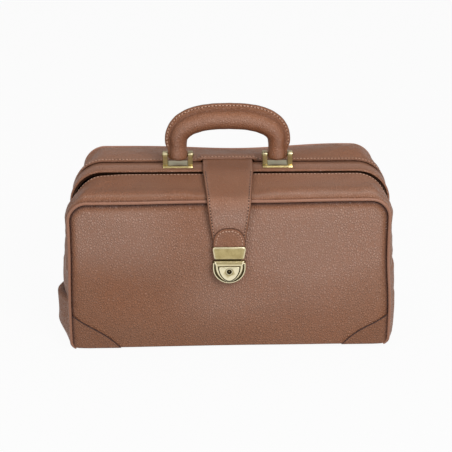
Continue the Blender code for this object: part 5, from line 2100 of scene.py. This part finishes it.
        # the bore's wall gets the face's painted highlight
        carve(piece, loft("bore", rings, np.full(rings.shape[:2], -0.85)))
        return fit(piece, self.finishes.brass, Body.BUTTON, Slot.BRASS, "lock_button")

    def cylinder(self) -> Piece:
        """The key cylinder with its round keyway and centre pin.

        Returns:
            The cylinder.
        """
        face = self.front - self.button_proud - 0.0001
        r, k = self.cylinder_radius, self.keyway_radius
        # painted highlight on the face ring, painted shade down the keyway and on the centre pin
        steps = [(-0.0029, r, 0.6), (-0.0004, r, -0.2), (0.0, r - 0.0002, -0.85), (0.0, k + 0.0003, -0.85)]
        steps += [(-0.0002, k, 0.6), (-0.0005, k, 1.0), (-0.0027, k, 1.0), (-0.0027, 0.0010, 1.0)]
        steps += [(-0.0009, 0.0010, 0.7), (-0.0005, 0.0007, 0.5)]
        rings = spun([(d, radius) for d, radius, _ in steps], (0.0, face, self.key_height), (0, -1, 0), 36)
        shade = banded([dark for _, _, dark in steps], rings.shape[1])
        piece = loft("lock_cylinder_turned", rings, shade, crease=35.0)
        return fit(piece, self.finishes.brass, Body.CYLINDER, Slot.BRASS, "lock_cylinder")


@dataclass
class InnerParts(Assembly):
    """The frame's bars, the button's spring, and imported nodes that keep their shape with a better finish."""

    steel: tuple[str, ...] = ("handle_core", "lock_back_plate")
    board: tuple[str, ...] = ("base_board",)
    push: float = 0.002

    def bars(self) -> list[Piece]:
        """The frame's two bars, which lean with the leather that covers them.

        Returns:
            The rear bar and the front bar.
        """
        pieces = []
        for name, body in (("rear_frame_bar", Body.BAG), ("front_frame_bar", Body.FRONT_FRAME)):
            points, faces = self.shape(name)
            piece = make_piece(f"{name}_steel", settle(points), faces, crease=30.0)
            pieces.append(fit(piece, self.finishes.steel, body, Slot.STEEL, name))
        return pieces

    def shape(self, name: str) -> tuple[Array, list[tuple[int, ...]]]:
        """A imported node's own shape.

        Args:
            name: the node.
        Returns:
            Its corner positions and the corner numbers of its faces.
        """
        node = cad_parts[name]
        points = np.array([node.matrix_world @ vertex.co for vertex in node.data.vertices])
        return points, [tuple(polygon.vertices) for polygon in node.data.polygons]

    def spring(self) -> Piece:
        """The button's spring, with its own copy of the coil's mesh.

        Returns:
            The spring.
        """
        points, faces = self.shape("lock_spring")
        coil = make_piece("lock_spring_coil", points, faces, crease=60.0)
        fit(coil, self.finishes.steel, Body.BAG, Slot.STEEL, "lock_spring")
        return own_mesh(coil)

    def dress(self) -> None:
        """Give the kept nodes their materials."""
        for names, finish in ((self.steel, self.finishes.steel), (self.board, self.finishes.board)):
            for name in names:
                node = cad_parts[name]
                node.data.materials.clear()
                node.data.materials.append(finish)
                LOG.info("%s: kept", name)


@dataclass
class StudioStage:
    """Pale floor, soft lights, white surroundings and the camera."""

    target: Point = (0.0, 0.0, 0.120)
    distance: float = 1.800
    azimuth: float = -1.02
    elevation: float = 22.92
    focal_pixels: float = 1386.0
    offset_x: float = 1.59
    offset_y: float = 4.48
    sensor: float = 36.0
    floor_half: float = 9.0
    ambient: float = 0.34
    white: float = 0.95
    gleam: float = 0.95

    def build(self) -> None:
        """Set up the whole stage."""
        bpy.context.scene.view_settings.view_transform = "Standard"
        self.camera()
        self.surroundings()
        self.floor()
        self.lamp("key_softbox", (1.0, -1.6, 1.60), size=1.1, power=37.0)
        self.lamp("fill_softbox", (-1.35, -1.55, 1.40), size=1.2, power=11.0)
        self.lamp("top_softbox", (0.0, 0.3, 2.0), size=1.3, power=8.0)

    def camera(self) -> None:
        """Place the camera at the photographed angle."""
        turn, lift = math.radians(self.azimuth), math.radians(self.elevation)
        data = bpy.data.cameras.new("studio_camera")
        data.sensor_width = self.sensor
        data.lens = self.focal_pixels / IMAGE_PIXELS * self.sensor
        data.shift_x = -self.offset_x / IMAGE_PIXELS
        data.shift_y = self.offset_y / IMAGE_PIXELS
        data.clip_end = 50.0
        camera = bpy.data.objects.new("studio_camera", data)
        away = Vector((math.sin(turn) * math.cos(lift), -math.cos(turn) * math.cos(lift), math.sin(lift)))
        camera.location = Vector(self.target) + self.distance * away
        camera.rotation_euler = (-away).to_track_quat("-Z", "Y").to_euler()
        bpy.context.scene.collection.objects.link(camera)
        bpy.context.scene.camera = camera

    def surroundings(self) -> None:
        """Light all round at a plain level, and show white where the camera looks past the floor."""
        world = bpy.data.worlds.new("studio_world")
        world.use_nodes = True
        bpy.context.scene.world = world
        graph = NodeGraph(world.node_tree)
        rays = graph.add("ShaderNodeLightPath").outputs
        seen = graph.maths("MAXIMUM", rays["Is Camera Ray"], rays["Is Transmission Ray"])
        level = graph.add("ShaderNodeMapRange", Value=seen, To_Min=self.ambient, To_Max=1.0)
        background = graph.tree.nodes["Background"]
        background.inputs["Color"].default_value = (1.0, 1.0, 1.0, 1.0)
        graph.put(background.inputs["Strength"], level.outputs[0])

    def floor(self) -> None:
        """A wide pale floor that keeps the bag's shadow."""
        h = self.floor_half
        mesh = bpy.data.meshes.new("studio_floor")
        mesh.from_pydata([(-h, -h, 0.0), (h, -h, 0.0), (h, h, 0.0), (-h, h, 0.0)], [], [(0, 1, 2, 3)])
        floor = bpy.data.objects.new("studio_floor", mesh)
        bpy.context.scene.collection.objects.link(floor)
        material = bpy.data.materials.new("pale_floor")
        material.use_nodes = True
        graph = NodeGraph(material.node_tree)
        graph.tree.nodes.remove(graph.tree.nodes["Principled BSDF"])
        matt = graph.add("ShaderNodeBsdfDiffuse", Color=(0.45, 0.45, 0.45, 1.0))
        glow = graph.add("ShaderNodeEmission", Color=(1.0, 1.0, 1.0, 1.0))
        rays = graph.add("ShaderNodeLightPath").outputs
        seen = graph.maths("MAXIMUM", rays["Is Camera Ray"], rays["Is Transmission Ray"])
        plain = graph.maths("MULTIPLY", seen, self.white)
        shown = graph.maths("MULTIPLY_ADD", rays["Is Glossy Ray"], self.gleam, plain)
        mixed = graph.add("ShaderNodeMixShader")
        for socket, source in zip(mixed.inputs, (shown, matt.outputs[0], glow.outputs[0])):
            graph.put(socket, source)
        graph.put(graph.tree.nodes["Material Output"].inputs["Surface"], mixed.outputs[0])
        mesh.materials.append(material)

    def lamp(self, name: str, place: Point, size: float, power: float) -> None:
        """Hang a soft square light that faces the bag.

        Args:
            name: the light's name.
            place: where it hangs.
            size: its side, in metres.
            power: its strength, in watts.
        """
        data = bpy.data.lights.new(name, "AREA")
        data.size = size
        data.energy = power
        lamp = bpy.data.objects.new(name, data)
        lamp.location = place
        lamp.rotation_euler = (Vector(self.target) - Vector(place)).to_track_quat("-Z", "Y").to_euler()
        bpy.context.scene.collection.objects.link(lamp)


def main() -> None:
    """Build the stage and every sub-assembly of the bag in order."""
    logging.basicConfig(level=logging.INFO, format="%(message)s")
    StudioStage().build()
    kit = Kit(Finishes(), StitchTree(), WeltTree())
    inner = InnerParts(kit)
    assemblies = {
        "body": LeatherBody(kit).build(),
        "mouth": MouthFrame(kit).build(),
        "handle": CarryHandle(kit).build(),
        "strap": ClosureStrap(kit).build(),
        "lock": TuckLock(kit).build(),
        "inside": [*inner.bars(), inner.spring()],
    }
    inner.dress()
    for name, pieces in assemblies.items():
        LOG.info("%s: %d pieces", name, len(pieces))


if __name__ == "__main__":
    main()
